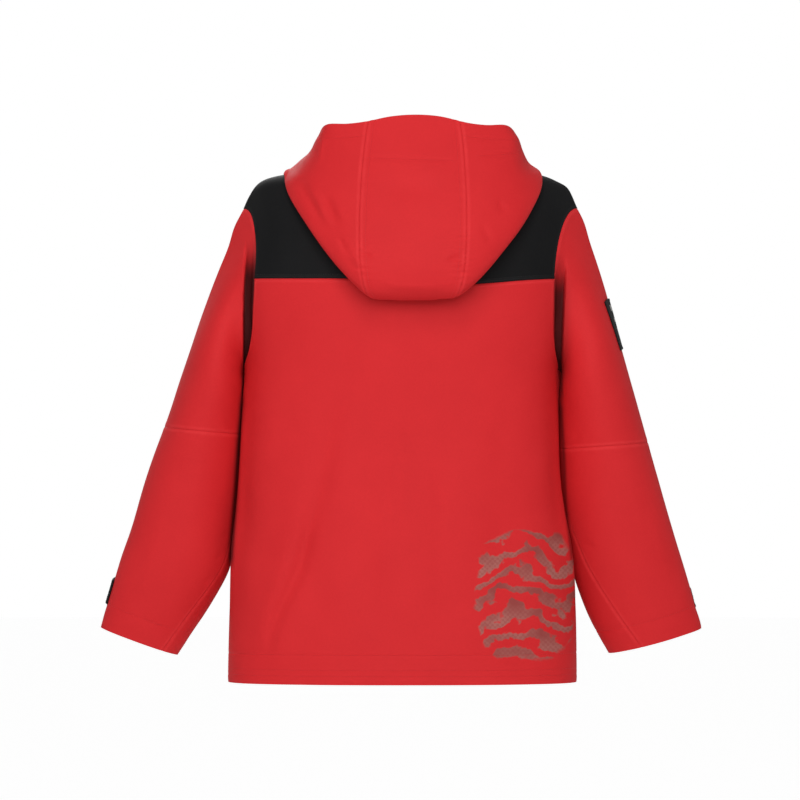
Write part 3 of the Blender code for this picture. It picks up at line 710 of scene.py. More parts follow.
@dataclass(frozen=True)
class Crease:
    """A soft fold seen from behind or from the front.

    Its line is points of x and z, mm. A height below 0 presses the cloth in, and shadow is the
    share by which painted shade darkens the cloth's colour at the bottom of a deep fold. One with
    a side is flat across its width and falls off within the side; it narrows by slim towards its
    end. parts are the only panels it lies in, if it has any.
    """

    line: tuple[Pair, ...]
    width: float
    height: float
    face: Face = Face.BACK
    fade: float = 0.35
    shadow: float = 0.0
    side: float = 0.0
    slim: float = 0.0
    parts: tuple[str, ...] = ()

    def profile(self, off: Array, along: Array, dip: float) -> Array:
        """The fold's height across it, from 0 to 1, with a dip of the cloth beside it.

        Args:
            off: distance from its line, mm.
            along: share of the way along it.
            dip: the dip's depth.

        Returns:
            The height at each point.
        """
        width = self.width * (1 - self.slim * along)
        if self.side:
            return ease((width + self.side - off) / self.side)
        return bump(off, width) - dip * bump(off, width * DIP_REACH)

    def relief(self, points: Array, normals: Array) -> tuple[Array, Array]:
        """How far the fold moves each point along Y, and how much painted shade it puts there.

        Args:
            points: the cloth's points, mm.
            normals: its normals there.

        Returns:
            The distance along Y, mm, and the share of painted shade that darkens the colour.
        """
        line = np.array(self.line, float)
        before = lengths_along(line)
        flat = points[..., [0, 2]]
        nearest = np.full(flat.shape[:-1], np.inf)
        along = np.zeros(flat.shape[:-1])
        for i, run in enumerate(np.linalg.norm(np.diff(line, axis=0), axis=1)):
            way = (line[i + 1] - line[i]) / run
            t = np.clip((flat - line[i]) @ way, 0, run)
            off = np.linalg.norm(flat - line[i] - t[..., None] * way, axis=-1)
            closer = off < nearest
            nearest = np.where(closer, off, nearest)
            along = np.where(closer, (before[i] + t) / before[-1], along)
        ends = ease(along / self.fade) * ease((1 - along) / self.fade)
        turned = self.face.value * normals[..., 1]
        shown, lit = (np.clip(a * turned + b, 0, 1) for a, b in (PRESS_FADE, SHADE_FADE))
        pressed = self.face.value * self.height * ends * shown
        # Painted shade at the bottom of the fold, darkening the cloth's colour.
        dark = self.shadow * ends * lit
        return pressed * self.profile(nearest, along, DIP), dark * self.profile(nearest, along, 0.0)


@dataclass(frozen=True)
class LetOut:
    """A place where the cut is let out or taken in: its middle in x and z, way and reach, mm.

    parts are the only panels that it changes, if it has any.
    """

    middle: Pair
    way: Pair
    reach: Pair
    parts: tuple[str, ...] = ()

    def moved(self, points: Array) -> Array:
        """The points after the change."""
        off = (points[..., [0, 2]] - np.array(self.middle)) / np.array(self.reach)
        share = bump(np.linalg.norm(off, axis=-1), 1.0)
        return points + share[..., None] * vec(self.way[0], 0.0, self.way[1])


@dataclass(frozen=True)
class Drape:
    """The slow unevenness of worn cloth: rows of wavelength x, y, z, phase and height, mm."""

    waves: tuple = (
        (310, 420, 520, 0.4, 0.55),
        (-190, 260, 340, 1.9, 0.40),
        (140, -230, 410, 3.1, 0.35),
        (96, 150, -205, 4.4, 0.22),
        (-71, 120, 133, 5.2, 0.14),
    )

    def relief(self, points: Array) -> Array:
        """How far the cloth stands out at each point.

        Args:
            points: the cloth's points, mm.

        Returns:
            The distances, mm.
        """
        total = np.zeros(points.shape[:-1])
        for x, y, z, phase, height in self.waves:
            place = points[..., 0] / x + points[..., 1] / y + points[..., 2] / z
            total += height * np.sin(2 * math.pi * place + phase)
        return total


@dataclass(frozen=True)
class Pucker:
    """Gathers that a seam draws up beside an upright edge, between two heights, mm.

    ends is how fast they fade in and out, uneven and every make their spacing vary with the
    height, and bare is the strip beside the seam that stays flat.
    """

    edge: Edge
    low: float
    high: float
    pitch: float
    height: float
    reach: float
    phase: float = 0.0
    ends: float = 3.0
    uneven: float = 1.3
    every: float = 23.0
    bare: float = 1.5


@dataclass(frozen=True)
class TopStitch:
    """A row of stitches at a distance from one edge, mm."""

    edge: Edge
    off: float


BACK_FOLDS = (
    Crease(((55, -242), (96, -371), (112, -452), (136, -554), (173, -635), (188, -705)), 17, -5.0),
    Crease(((112, -452), (136, -554), (173, -635), (187, -705)), 8, -3.6, fade=0.3),
    Crease(((146, -505), (168, -580), (202, -655)), 13, 2.6),
    Crease(((3, -351), (7, -452), (-5, -574)), 13, -1.8),
    Crease(((-38, -420), (-62, -505)), 11, -1.5),
    Crease(((-150, -260), (-132, -400), (-120, -470)), 18, -1.3),
    Crease(((150, -330), (168, -430)), 14, -1.0),
)
FRONT_FOLDS = (
    Crease(((70, -215), (98, -350), (122, -470), (160, -600)), 16, -2.8, Face.FRONT),
    Crease(((40, -380), (52, -500), (44, -610)), 12, -1.7, Face.FRONT),
    Crease(((-60, -240), (-84, -370), (-96, -480)), 15, -2.2, Face.FRONT),
    Crease(((-128, -470), (-150, -590), (-172, -690)), 13, -2.4, Face.FRONT),
    Crease(((-40, -520), (-52, -640)), 11, -1.5, Face.FRONT),
    Crease(((150, -130), (120, -165)), 9, -1.6, Face.FRONT),
    Crease(((-160, -128), (-126, -168)), 9, -1.6, Face.FRONT),
)
SLEEVE_FOLDS = (
    Crease(((288, -395), (316, -500), (344, -585)), 15, -1.0),
    Crease(((318, -470), (340, -545), (358, -602)), 9, 0.9),
    Crease(((262, -300), (276, -350)), 11, -0.7),
    Crease(((232, -506), (244, -521)), 3.4, -1.4),
    Crease(((241, -535), (253, -549)), 3.2, -1.4),
    Crease(((254, -565), (269, -579)), 3.6, -1.3),
    Crease(((226, -374), (240, -350)), 4.5, -1.1),
    Crease(((-272, -415), (-300, -500), (-322, -580)), 15, -1.0),
    Crease(((-335, -470), (-352, -540), (-364, -600)), 9, 0.9),
    Crease(((-238, -300), (-256, -352)), 11, -0.7),
    Crease(((-222, -398), (-240, -374)), 4.5, -1.1),
    Crease(((-243, -520), (-262, -532)), 3.4, -1.2),
    Crease(((300, -400), (322, -500)), 14, -2.0, Face.FRONT),
    Crease(((-290, -410), (-318, -515)), 14, -2.0, Face.FRONT),
    Crease(((255, -330), (270, -390)), 8, -1.6, Face.FRONT),
    Crease(((-252, -330), (-268, -400)), 8, -1.6, Face.FRONT),
)
HOOD_FOLDS = (
    Crease(((142, -30), (124, -62), (105, -97)), 7, -4.2),
    Crease(((105, -53), (94, -78), (81, -105)), 6, -4.2),
    Crease(((122, -48), (108, -76), (92, -104)), 5, 2.4),
    Crease(((84, -112), (72, -139)), 4, -2.8),
    Crease(((68, -132), (53, -155)), 5, 3.4),
    Crease(((49, -136), (40, -147)), 4, -2.8),
    Crease(((105, 26), (112, -16)), 3.5, 2.6),
    Crease(((136, -8), (147, -24)), 3.2, 2.4),
    Crease(((-99, -5), (-127, -4), (-166, 1)), 2.4, -1.6),
    Crease(((46, -8), (-67, -11.5)), 2.2, -1.4, fade=0.1),
    Crease(((32, -50), (-68, -50)), 14, -2.6),
    Crease(((42, -167), (11, -180), (-46, -182), (-73, -172)), 6, 1.8),
    Crease(((-58, -149), (-70, -142), (-86, -144)), 3.2, -3.4),
    Crease(((-127, -63), (-138, -84)), 4, -2.8),
    Crease(((-104, -96), (-120, -124)), 5, -2.6),
)
# Hollows and contact lines beside the armholes. Their shadow is painted shade in the cloth's
# colour, and the lines of height 0 are painted shade alone.
ARMHOLE_FOLDS = (
    Crease(
        ((201, -112), (205, -182), (207.2, -250), (210.5, -297), (213.4, -324), (217.5, -364)),
        width=7.6, height=-17.0, fade=0.22, shadow=0.96, side=2.6, slim=0.8,
        parts=("upper_sleeve_left",),
    ),
    Crease(((195, -95), (198, -130), (204, -165)), width=4.0, height=-2.0, fade=0.2, shadow=0.3),
    Crease(
        ((213.5, -318), (219, -371), (224, -455), (229, -520), (232, -562)),
        width=3.2, height=0.0, fade=0.08, shadow=0.88,
    ),
    Crease(
        ((-212, -133), (-211, -165), (-210.2, -200), (-209.8, -240), (-210, -280), (-213.5, -352)),
        width=6.6, height=-15.0, fade=0.28, shadow=0.93, side=3.4, slim=0.75,
        parts=("upper_sleeve_right",),
    ),
    Crease(
        ((-207, -120), (-214, -196), (-216, -260), (-216, -320)),
        width=9.0, height=-2.0, fade=0.25, shadow=0.4, parts=("upper_sleeve_right",),
    ),
    Crease(
        ((-212.5, -318), (-217, -390), (-220, -463), (-229, -563)),
        width=2.2, height=0.0, fade=0.12, shadow=0.6,
    ),
)
BRIM_LINES = (
    ((46, -8), (-10, -10), (-67, -11.5)),
    ((-99, -5), (-127, -4), (-166, 1)),
)
FOLDS = BACK_FOLDS + FRONT_FOLDS + SLEEVE_FOLDS + HOOD_FOLDS + ARMHOLE_FOLDS
YOKE_SEAM_PARTS = ("back_panel", "yoke_back")
LET_OUT = (
    LetOut((140, 12), (-7, 0), (32, 32)),
    LetOut((-168, 8), (2.5, 0), (26, 26)),
    LetOut((226, -96), (3.5, 0), (22, 22)),
    LetOut((-246, -86), (-3.5, 0), (24, 24)),
    LetOut((-402, -636), (-3, 0), (18, 18)),
    LetOut((152, -14), (-3.6, -3.2), (15, 15)),
    LetOut((118, 16), (2.2, 0.8), (13, 13)),
    LetOut((-155, 19), (-2.8, 1.2), (14, 14)),
    LetOut((-178, -11), (5.4, -3.6), (15, 15)),
    LetOut((-105, 44), (0, -2.4), (38, 20)),
    LetOut((190, -38), (1.2, 2.4), (17, 15)),
    LetOut((-222, -48), (-1.6, 2.4), (15, 15)),
    LetOut((30, -165), (0, -3.7), (400, 48), YOKE_SEAM_PARTS),
    LetOut((-80, -168), (0, -8), (85, 48), YOKE_SEAM_PARTS),
    LetOut((220, -405), (-4.3, 0), (21, 112)),
    LetOut((-218, -425), (5, 0), (21, 108)),
)


# ---------------------------------------------------------------- panels of cloth
SEAM_DIP = 1.2  # width of the dip along a seam, mm
SEAM_RIDGE = (0.5, 4.5, 2.6)  # the ridge beside it: share of the dip, place and width
STITCH_DIP = (0.4, 1.1)  # depth and width of a stitched line
STITCH_ROLL = (0.25, 0.5, 0.3)  # the roll beside it: height, and shares of the line's distance
SEAM_FLAT = 5.0  # a panel's own folds stop this far from its seams


@dataclass
class Panel:
    """A piece of cloth as a grid of points, with rows from LOW to HIGH.

    hides are the frame's nodes that it stands for, and facing is about the way its middle faces.
    """

    name: str
    points: Array
    hides: tuple[str, ...]
    facing: Triple
    held: str = "hung"
    rests_on: tuple[str, ...] = ()
    seams: tuple[Edge, ...] = tuple(Edge)
    ditch: float = 0.55
    puckers: tuple[Pucker, ...] = ()
    stitches: tuple[TopStitch, ...] = ()
    wall: float = WALL
    normals: Array = field(init=False)
    outer: Array = field(init=False)
    inner: Array = field(init=False)
    shade: Array = field(init=False)

    def __post_init__(self) -> None:
        """Lets the cut out, and works out the normals on the side that facing names."""
        for change in LET_OUT:
            if not change.parts or self.name in change.parts:
                self.points = change.moved(self.points)
        normals = grid_normals(self.points)
        row, column = self.points.shape[0] // 2, self.points.shape[1] // 2
        if normals[row, column] @ self.facing < 0:
            normals = -normals
        self.normals = normals
        self.shade = np.zeros(self.points.shape[:2])
        self.raise_by(self.shade)

    def raise_by(self, moved: Array, pushed: float | Array = 0.0) -> None:
        """Moves the cloth out along its normals from where it was cut, and pushes it along Y."""
        self.outer = self.points + moved[..., None] * self.normals
        self.outer[..., 1] += pushed
        self.inner = self.outer - self.wall * self.normals

    def distances(self, edge: Edge) -> Array:
        """How far each point lies from an edge, along the cloth.

        Args:
            edge: the edge.

        Returns:
            The distances, mm.
        """
        axis = 0 if edge in (Edge.LOW, Edge.HIGH) else 1
        runs = np.linalg.norm(np.diff(self.points, axis=axis), axis=-1)
        total = np.cumsum(runs, axis=axis)
        first = np.zeros_like(np.take(total, [0], axis=axis))
        along = np.concatenate([first, total], axis=axis)
        if edge in (Edge.HIGH, Edge.LAST):
            along = np.take(along, [-1], axis=axis) - along
        return along

    def from_seams(self) -> Array:
        """How far each point lies from the nearest sewn edge."""
        if not self.seams:
            return np.full(self.points.shape[:2], NO_SEAM)
        return np.min([self.distances(edge) for edge in self.seams], axis=0)

    def shaped(self, folds: Sequence[Crease], drape: Drape) -> None:
        """Gives the cloth its folds, the dip along its seams, its gathers and stitch lines, and
        keeps its folds' painted shade.

        Args:
            folds: the creases of the whole jacket.
            drape: its slow unevenness.
        """
        moved, near = drape.relief(self.points), self.from_seams()
        pushed = np.zeros(near.shape)
        for fold in folds:
            if fold.parts and self.name not in fold.parts:
                continue
            push, dark = fold.relief(self.points, self.normals)
            pushed += push * ease(near / SEAM_FLAT) if fold.parts else push
            # The darkest painted shade that any fold puts on each point.
            self.shade = np.maximum(self.shade, dark)
        share, place, width = SEAM_RIDGE
        ridge = share * self.ditch * bump(near - place, width)
        moved += -self.ditch * bump(near, SEAM_DIP) + ridge
        depth, narrow = STITCH_DIP
        height, place, width = STITCH_ROLL
        for row in self.stitches:
            away = self.distances(row.edge)
            moved -= depth * bump(away - row.off, narrow)
            moved += height * bump(away - row.off * place, row.off * width)
        for pucker in self.puckers:
            moved += self.gathers(pucker)
        self.raise_by(moved, pushed)

    def gathers(self, pucker: Pucker) -> Array:
        """Relief of one run of gathers.

        Args:
            pucker: the run.

        Returns:
            How far it moves each point out, mm.
        """
        height, off = self.points[..., 2], self.distances(pucker.edge)
        share = (height - pucker.low) / (pucker.high - pucker.low)
        window = ease(share * pucker.ends) * ease((1 - share) * pucker.ends)
        window *= ease(self.normals[..., 1] * pucker.ends)
        turn = 2 * math.pi * height / pucker.pitch + pucker.phase
        turn += pucker.uneven * np.sin(height / pucker.every)
        waves = pucker.height * window * np.sin(turn)
        return waves * np.exp(-off / pucker.reach) * ease(off / pucker.bare)

    def stitch_lines(self) -> list[tuple[Array, Array]]:
        """Where the rows of stitches run, with which way is out."""
        return [self.line(row.edge, row.off) for row in self.stitches]

    def line(self, edge: Edge, off: float) -> tuple[Array, Array]:
        """The line on the cloth at a distance from an edge.

        Args:
            edge: where the distance is measured from.
            off: the distance, mm.

        Returns:
            Its points and the cloth's normals there.
        """
        away = self.distances(edge)
        both = np.concatenate([self.outer, self.normals], axis=-1)
        if edge in (Edge.LOW, Edge.HIGH):
            away, both = away.T, both.transpose(1, 0, 2)
        if edge in (Edge.HIGH, Edge.LAST):
            away, both = away[:, ::-1], both[:, ::-1]
        found = [[np.interp(off, a, b[:, k]) for k in range(6)] for a, b in zip(away, both)]
        found = np.array(found)
        return found[:, :3], unit(found[:, 3:])

    def mesh(self, finishes: Sequence[Look]) -> bpy.types.Mesh:
        """The closed wall between the outer and inner points.

        Args:
            finishes: the outside's material, and the inside's if it has its own.

        Returns:
            The mesh, with the cloth's own lengths as a UV map, its distance from seams and its
            painted shade.
        """
        rows, cols = self.outer.shape[:2]
        count = rows * cols
        index = np.arange(count).reshape(rows, cols)
        skin = grid_faces(self.outer, self.normals)
        rim = [index[0, :], index[1:, -1], index[-1, -2::-1], index[-2:0:-1, 0]]
        rim = np.concatenate(rim)
        walls = np.stack([rim, rim + count, np.roll(rim, -1) + count, np.roll(rim, -1)], axis=-1)
        if skin[0, 0] != 0:  # the grid's faces were turned over
            walls = walls[:, ::-1]
        faces = np.concatenate([skin, skin[:, ::-1] + count, walls])
        verts = np.concatenate([self.outer.reshape(-1, 3), self.inner.reshape(-1, 3)]) * MM
        made = bpy.data.meshes.new(self.name)
        made.from_pydata(verts.tolist(), [], faces.tolist())
        lengths = [self.distances(Edge.FIRST), self.distances(Edge.LOW)]
        lengths = np.tile(np.stack(lengths, axis=-1).reshape(-1, 2) * MM, (2, 1))
        corner = np.zeros(len(made.loops), np.int32)
        made.loops.foreach_get("vertex_index", corner)
        layer = made.uv_layers.new(name="cloth")
        layer.uv.foreach_set("vector", lengths[corner].astype(np.float32).ravel())
        for title, values in (("from_seam", self.from_seams()), ("shade", self.shade)):
            held = made.attributes.new(title, "FLOAT", "POINT")
            held.data.foreach_set("value", np.tile(values.ravel(), 2).astype(np.float32))
        for finish in finishes:
            made.materials.append(finish)
        if len(finishes) > 1:
            inside = np.zeros(len(faces), np.int32)
            inside[len(skin) :] = 1
            made.polygons.foreach_set("material_index", inside)
        made.shade_smooth()
        made.update()
        return made


def meet(one: Panel, edge: Edge, other: Panel, other_edge: Edge) -> None:
    """Gives two panels that share a seam the same normals along it.

    Args:
        one: a panel.
        edge: its edge at the seam, FIRST or LAST.
        other: the other panel.
        other_edge: the other panel's edge there.
    """
    column = {Edge.FIRST: 0, Edge.LAST: -1}
    a, b = column[edge], column[other_edge]
    shared = unit(one.normals[:, a] + other.normals[:, b])
    one.normals[:, a] = shared
    other.normals[:, b] = shared


def tree_of(panels: Sequence[Panel], shaped: bool = False) -> BVHTree:
    """Search tree of the outer faces of panels, in metres.

    Args:
        panels: the panels.
        shaped: whether their folds count.

    Returns:
        The tree, with its faces outwards.
    """
    verts, faces = [], []
    for panel in panels:
        grid = panel.outer if shaped else panel.points
        faces += (grid_faces(grid, panel.normals) + len(verts)).tolist()
        verts += (grid.reshape(-1, 3) * MM).tolist()
    return BVHTree.FromPolygons(verts, faces)


# ---------------------------------------------------------------- node trees
Socket = bpy.types.NodeSocket
VECTOR, GEOMETRY, MATERIAL = "NodeSocketVector", "NodeSocketGeometry", "NodeSocketMaterial"
FLOAT = "NodeSocketFloat"
MIX_SHARE, MIX_FIRST, MIX_SECOND, MIX_COLOUR = 0, 6, 7, 2  # a colour Mix node's sockets


@dataclass
class Wiring:
    """A node tree, with short ways to add its nodes and to join them."""

    tree: Tree
    start: bpy.types.Node | None = None
    end: bpy.types.Node | None = None

    @classmethod
    def group(cls, name: str, kind: str, takes: dict[str, object], gives: dict[str, str]) -> Wiring:
        """Starts a node group.

        Args:
            name: the group's name.
            kind: ShaderNodeTree or GeometryNodeTree.
            takes: each input's name, with its number or else its kind of socket.
            gives: each output's name and kind of socket.

        Returns:
            The group's wiring.
        """
        tree = bpy.data.node_groups.new(name, kind)
        for title, value in takes.items():
            number = {int: "NodeSocketInt", float: FLOAT}.get(type(value))
            made = tree.interface.new_socket(title, in_out="INPUT", socket_type=number or value)
            if number:
                made.default_value = value
        for title, socket in gives.items():
            tree.interface.new_socket(title, in_out="OUTPUT", socket_type=socket)
        return cls(tree, tree.nodes.new("NodeGroupInput"), tree.nodes.new("NodeGroupOutput"))

    def taken(self, name: str) -> Socket:
        """What the group is given under a name."""
        return self.start.outputs[name]

    def give(self, name: str, value: Socket) -> Tree:
        """Puts a value out under a name, and hands over the finished group."""
        self.feed(self.end.inputs[name], value)
        return self.tree

    def feed(self, socket: Socket, value: object) -> None:
        """Joins a socket to another one, or sets it.

        Args:
            socket: the input.
            value: another node's output, or a number, text or colour.
        """
        if isinstance(value, Socket):
            self.tree.links.new(value, socket)
        elif socket.type == "RGBA":
            socket.default_value = (*value, 1)
        else:
            socket.default_value = value

    def node(self, kind: str, inputs: dict | None = None, **settings: object) -> bpy.types.Node:
        """Adds a node.

        Args:
            kind: the node's type.
            inputs: what feeds its inputs, by their names or numbers.
            settings: its properties.

        Returns:
            The node.
        """
        made = self.tree.nodes.new(kind)
        for name, value in settings.items():
            setattr(made, name, value)
        for key, value in (inputs or {}).items():
            self.feed(made.inputs[key], value)
        return made

    def maths(self, how: str, *values: object, clamp: bool = False) -> Socket:
        """The result of a Math node on sockets and numbers."""
        inputs = dict(enumerate(values))
        return self.node("ShaderNodeMath", inputs, operation=how, use_clamp=clamp).outputs[0]

    def split(self, place: Socket) -> Sequence[Socket]:
        """The three coordinates of a place."""
        return self.node("ShaderNodeSeparateXYZ", {0: place}).outputs

    def noise(self, place: Socket, scale: object, detail: float = 2.0) -> Socket:
        """Noise about 0.5."""
        inputs = {"Vector": place, "Scale": scale, "Detail": detail}
        return self.node("ShaderNodeTexNoise", inputs).outputs[0]

    def shared(self, name: str, inputs: dict) -> Socket:
        """The first result of a shared group."""
        group = bpy.data.node_groups[name]
        return self.node("ShaderNodeGroup", inputs, node_tree=group).outputs[0]

    def solid(self) -> Socket:
        """The place in the object."""
        return self.node("ShaderNodeTexCoord").outputs["Object"]

    def flat(self) -> Socket:
        """The place on the flat cloth."""
        return self.node("ShaderNodeUVMap", uv_map="cloth").outputs[0]

    def carried(self, name: str) -> Socket:
        """A number that the cloth's mesh carries at each point."""
        return self.node("ShaderNodeAttribute", attribute_name=name).outputs["Fac"]

    def blend(self, share: Socket, first: object, second: object) -> Socket:
        """A colour between two, each a socket or a colour."""
        inputs = {MIX_SHARE: share, MIX_FIRST: first, MIX_SECOND: second}
        return self.node("ShaderNodeMix", inputs, data_type="RGBA").outputs[MIX_COLOUR]


class Shape(Enum):
    """What a repeated small piece looks like."""

    STITCH = "stitch"
    TOOTH = "tooth"


@dataclass(frozen=True)
class Repeat:
    """A small shape repeated along lines by geometry nodes, sizes in mm.

    size is its length along the line, its width across it and its height off the cloth. bar is a
    tooth's shank, and head_at and head are the place and size of its head, all of a whole of 1.
    """

    name: str
    shape: Shape
    pitch: float
    size: Triple
    jitter: float = 0.0
    seed: int = 7
    bar: Triple = (0.8, 1.0, 0.7)
    head_at: Triple = (0.0, 0.36, 0.0)
    head: Triple = (1.15, 0.5, 1.0)

    def one(self, tree: Wiring) -> Socket:
        """Makes one piece of length, width and height 1.

        Args:
            tree: the wiring that it is made in.

        Returns:
            Its geometry.
        """
        ball = tree.node("GeometryNodeMeshIcoSphere", {"Radius": 0.5, "Subdivisions": 1})
        if self.shape is Shape.STITCH:
            return ball.outputs["Mesh"]
        bar = tree.node("GeometryNodeMeshCube", {"Size": self.bar})
        way = {"Geometry": ball.outputs["Mesh"], "Translation": self.head_at, "Scale": self.head}
        head = tree.node("GeometryNodeTransform", way)
        both = tree.node("GeometryNodeJoinGeometry")
        tree.feed(both.inputs[0], bar.outputs["Mesh"])
        tree.feed(both.inputs[0], head.outputs[0])
        return both.outputs[0]

    def group(self) -> Tree:
        """The tree: lines to evenly spaced points, a piece on each, turned to lie on the cloth.

        Returns:
            The node group, with its sizes as named inputs.
        """
        sizes = ("Length", "Width", "Height")
        takes = {"Lines": GEOMETRY, "Pitch": 3.0 * MM, **dict.fromkeys(sizes, MM)}
        takes |= {"Jitter": 0.0, "Seed": 0, "Finish": MATERIAL}
        tree = Wiring.group(self.name, "GeometryNodeTree", takes, {"Pieces": GEOMETRY})
        curve = tree.node("GeometryNodeMeshToCurve", {"Mesh": tree.taken("Lines")}).outputs[0]
        spaced = {"Curve": curve, "Length": tree.taken("Pitch")}
        spots = tree.node("GeometryNodeCurveToPoints", spaced, mode="LENGTH").outputs
        kept = {"Geometry": spots["Points"], "Name": "tangent", "Value": spots["Tangent"]}
        points = tree.node("GeometryNodeStoreNamedAttribute", kept, data_type="FLOAT_VECTOR")
        named = "GeometryNodeInputNamedAttribute"
        lie, way = (
            tree.node(named, {"Name": name}, data_type="FLOAT_VECTOR").outputs[0]
            for name in ("lie", "tangent")
        )
        axes = {"Primary Axis": lie, "Secondary Axis": way}
        turn = tree.node("FunctionNodeAxesToRotation", axes, primary_axis="Z", secondary_axis="X")
        low, high = (tree.maths(how, 1.0, tree.taken("Jitter")) for how in ("SUBTRACT", "ADD"))
        drawn = {2: low, 3: high, "Seed": tree.taken("Seed")}
        chance = tree.node("FunctionNodeRandomValue", drawn).outputs[1]
        scaled = [tree.maths("MULTIPLY", tree.taken(name), chance) for name in sizes]
        put = {
            "Points": points.outputs[0],
            "Instance": self.one(tree),
            "Rotation": turn.outputs[0],
            "Scale": tree.node("ShaderNodeCombineXYZ", dict(enumerate(scaled))).outputs[0],
        }
        pieces = tree.node("GeometryNodeInstanceOnPoints", put).outputs[0]
        real = tree.node("GeometryNodeRealizeInstances", {0: pieces}).outputs[0]
        dressed = {"Geometry": real, "Material": tree.taken("Finish")}
        return tree.give("Pieces", tree.node("GeometryNodeSetMaterial", dressed).outputs[0])

    def along(self, lines: Sequence[tuple[Array, Array]], finish: Look) -> bpy.types.Mesh:
        """The pieces along lines.

        Args:
            lines: points on the cloth in mm, and which way is out at each.
            finish: the pieces' material.

        Returns:
            Their mesh.
        """
        verts, edges, lies = [], [], []
        for points, normals in lines:
            start = len(verts)
            verts += (points * MM).tolist()
            lies += normals.tolist()
            edges += [(i, i + 1) for i in range(start, len(verts) - 1)]
        guide = bpy.data.meshes.new(f"{self.name}_guide")
        guide.from_pydata(verts, edges, [])
        held = guide.attributes.new("lie", "FLOAT_VECTOR", "POINT")
        held.data.foreach_set("vector", np.array(lies, np.float32).ravel())
        carrier = shown(f"{self.name}_guide", guide)
        nodes = carrier.modifiers.new("repeat", "NODES")
        nodes.node_group = self.group()
        values = dict(zip(("Length", "Width", "Height"), (part * MM for part in self.size)))
        values |= {"Pitch": self.pitch * MM, "Jitter": self.jitter}
        values |= {"Seed": self.seed, "Finish": finish}
        for item in nodes.node_group.interface.items_tree:
            if item.in_out == "INPUT" and item.name in values:
                nodes[item.identifier] = values[item.name]
        result = carrier.evaluated_get(bpy.context.evaluated_depsgraph_get())
        made = bpy.data.meshes.new_from_object(result)
        made.name = self.name
        carrier.modifiers.remove(nodes)
        bpy.data.objects.remove(carrier)
        bpy.data.meshes.remove(guide)
        made.shade_smooth()
        return made


def shown(name: str, data: bpy.types.ID) -> Piece:
    """Puts a mesh, lamp or camera in the scene.

    Args:
        name: the object's name.
        data: what it shows.

    Returns:
        The object.
    """
    made = bpy.data.objects.new(name, data)
    bpy.context.scene.collection.objects.link(made)
    return made


def laid_line(tree: BVHTree, line: Sequence[Pair], face: Face) -> tuple[Array, Array]:
    """A line seen from behind or from the front, laid on the cloth.

    Args:
        tree: the cloth.
        line: its points of x and z, mm.
        face: the side it is seen from.

    Returns:
        Its points on the cloth, mm, and which way is out at each.
    """
    corners = np.array(line, float)
    before = lengths_along(corners)
    steps = np.linspace(0, before[-1], max(3, round(before[-1] / 2)))
    found = []
    for x, z in zip(*(np.interp(steps, before, corners[:, axis]) for axis in (0, 1))):
        start = Vector((x * MM, face.value * 1.0, z * MM))
        spot, normal, _, _ = tree.ray_cast(start, Vector((0.0, -face.value, 0.0)))
        if spot is not None:
            found.append((np.array(spot) / MM, np.array(normal)))
    points, lies = zip(*found)
    return np.array(points), np.array(lies)


# ---------------------------------------------------------------- finishes
def weave_group() -> None:
    """Plain weave: threads over and under each other, as a height from 0 to 1."""
    takes = {"Place": VECTOR, "Threads per metre": 1800.0}
    group = Wiring.group("plain_weave", "ShaderNodeTree", takes, {"Height": FLOAT})
    rate = group.maths("MULTIPLY", group.taken("Threads per metre"), math.pi)
    ways = group.split(group.taken("Place"))[:2]
    waves = [group.maths("SINE", group.maths("MULTIPLY", way, rate)) for way in ways]
    crossed = group.maths("MULTIPLY", *waves)
    group.give("Height", group.maths("MULTIPLY_ADD", crossed, 0.5, 0.5))


def mottle_group() -> None:
    """Uneven dye and fibre: fine and slow noise together, as a value about 0.5."""
    takes = {"Place": VECTOR, "Fine scale": 420.0, "Slow scale": 14.0}
    group = Wiring.group("mottle", "ShaderNodeTree", takes, {"Value": FLOAT})
    parts = [
        group.maths("MULTIPLY", group.noise(group.taken("Place"), group.taken(name)), share)
        for name, share in (("Fine scale", 0.45), ("Slow scale", 0.55))
    ]
    group.give("Value", group.maths("ADD", *parts))


def rub_group() -> None:
    """Painted highlight just beside the seams, uneven along them: a mask from 0 to 1."""
    takes = {"Place": VECTOR, "From seam": 99.0, "Reach": 3.0}
    group = Wiring.group("seam_rub", "ShaderNodeTree", takes, {"Mask": FLOAT})
    share = group.maths("DIVIDE", group.taken("From seam"), group.taken("Reach"))
    off = group.maths("ABSOLUTE", group.maths("SUBTRACT", share, 1.0))
    near = group.maths("SUBTRACT", 1.0, off, clamp=True)
    uneven = group.noise(group.taken("Place"), 60.0)
    group.give("Mask", group.maths("MULTIPLY", near, uneven))


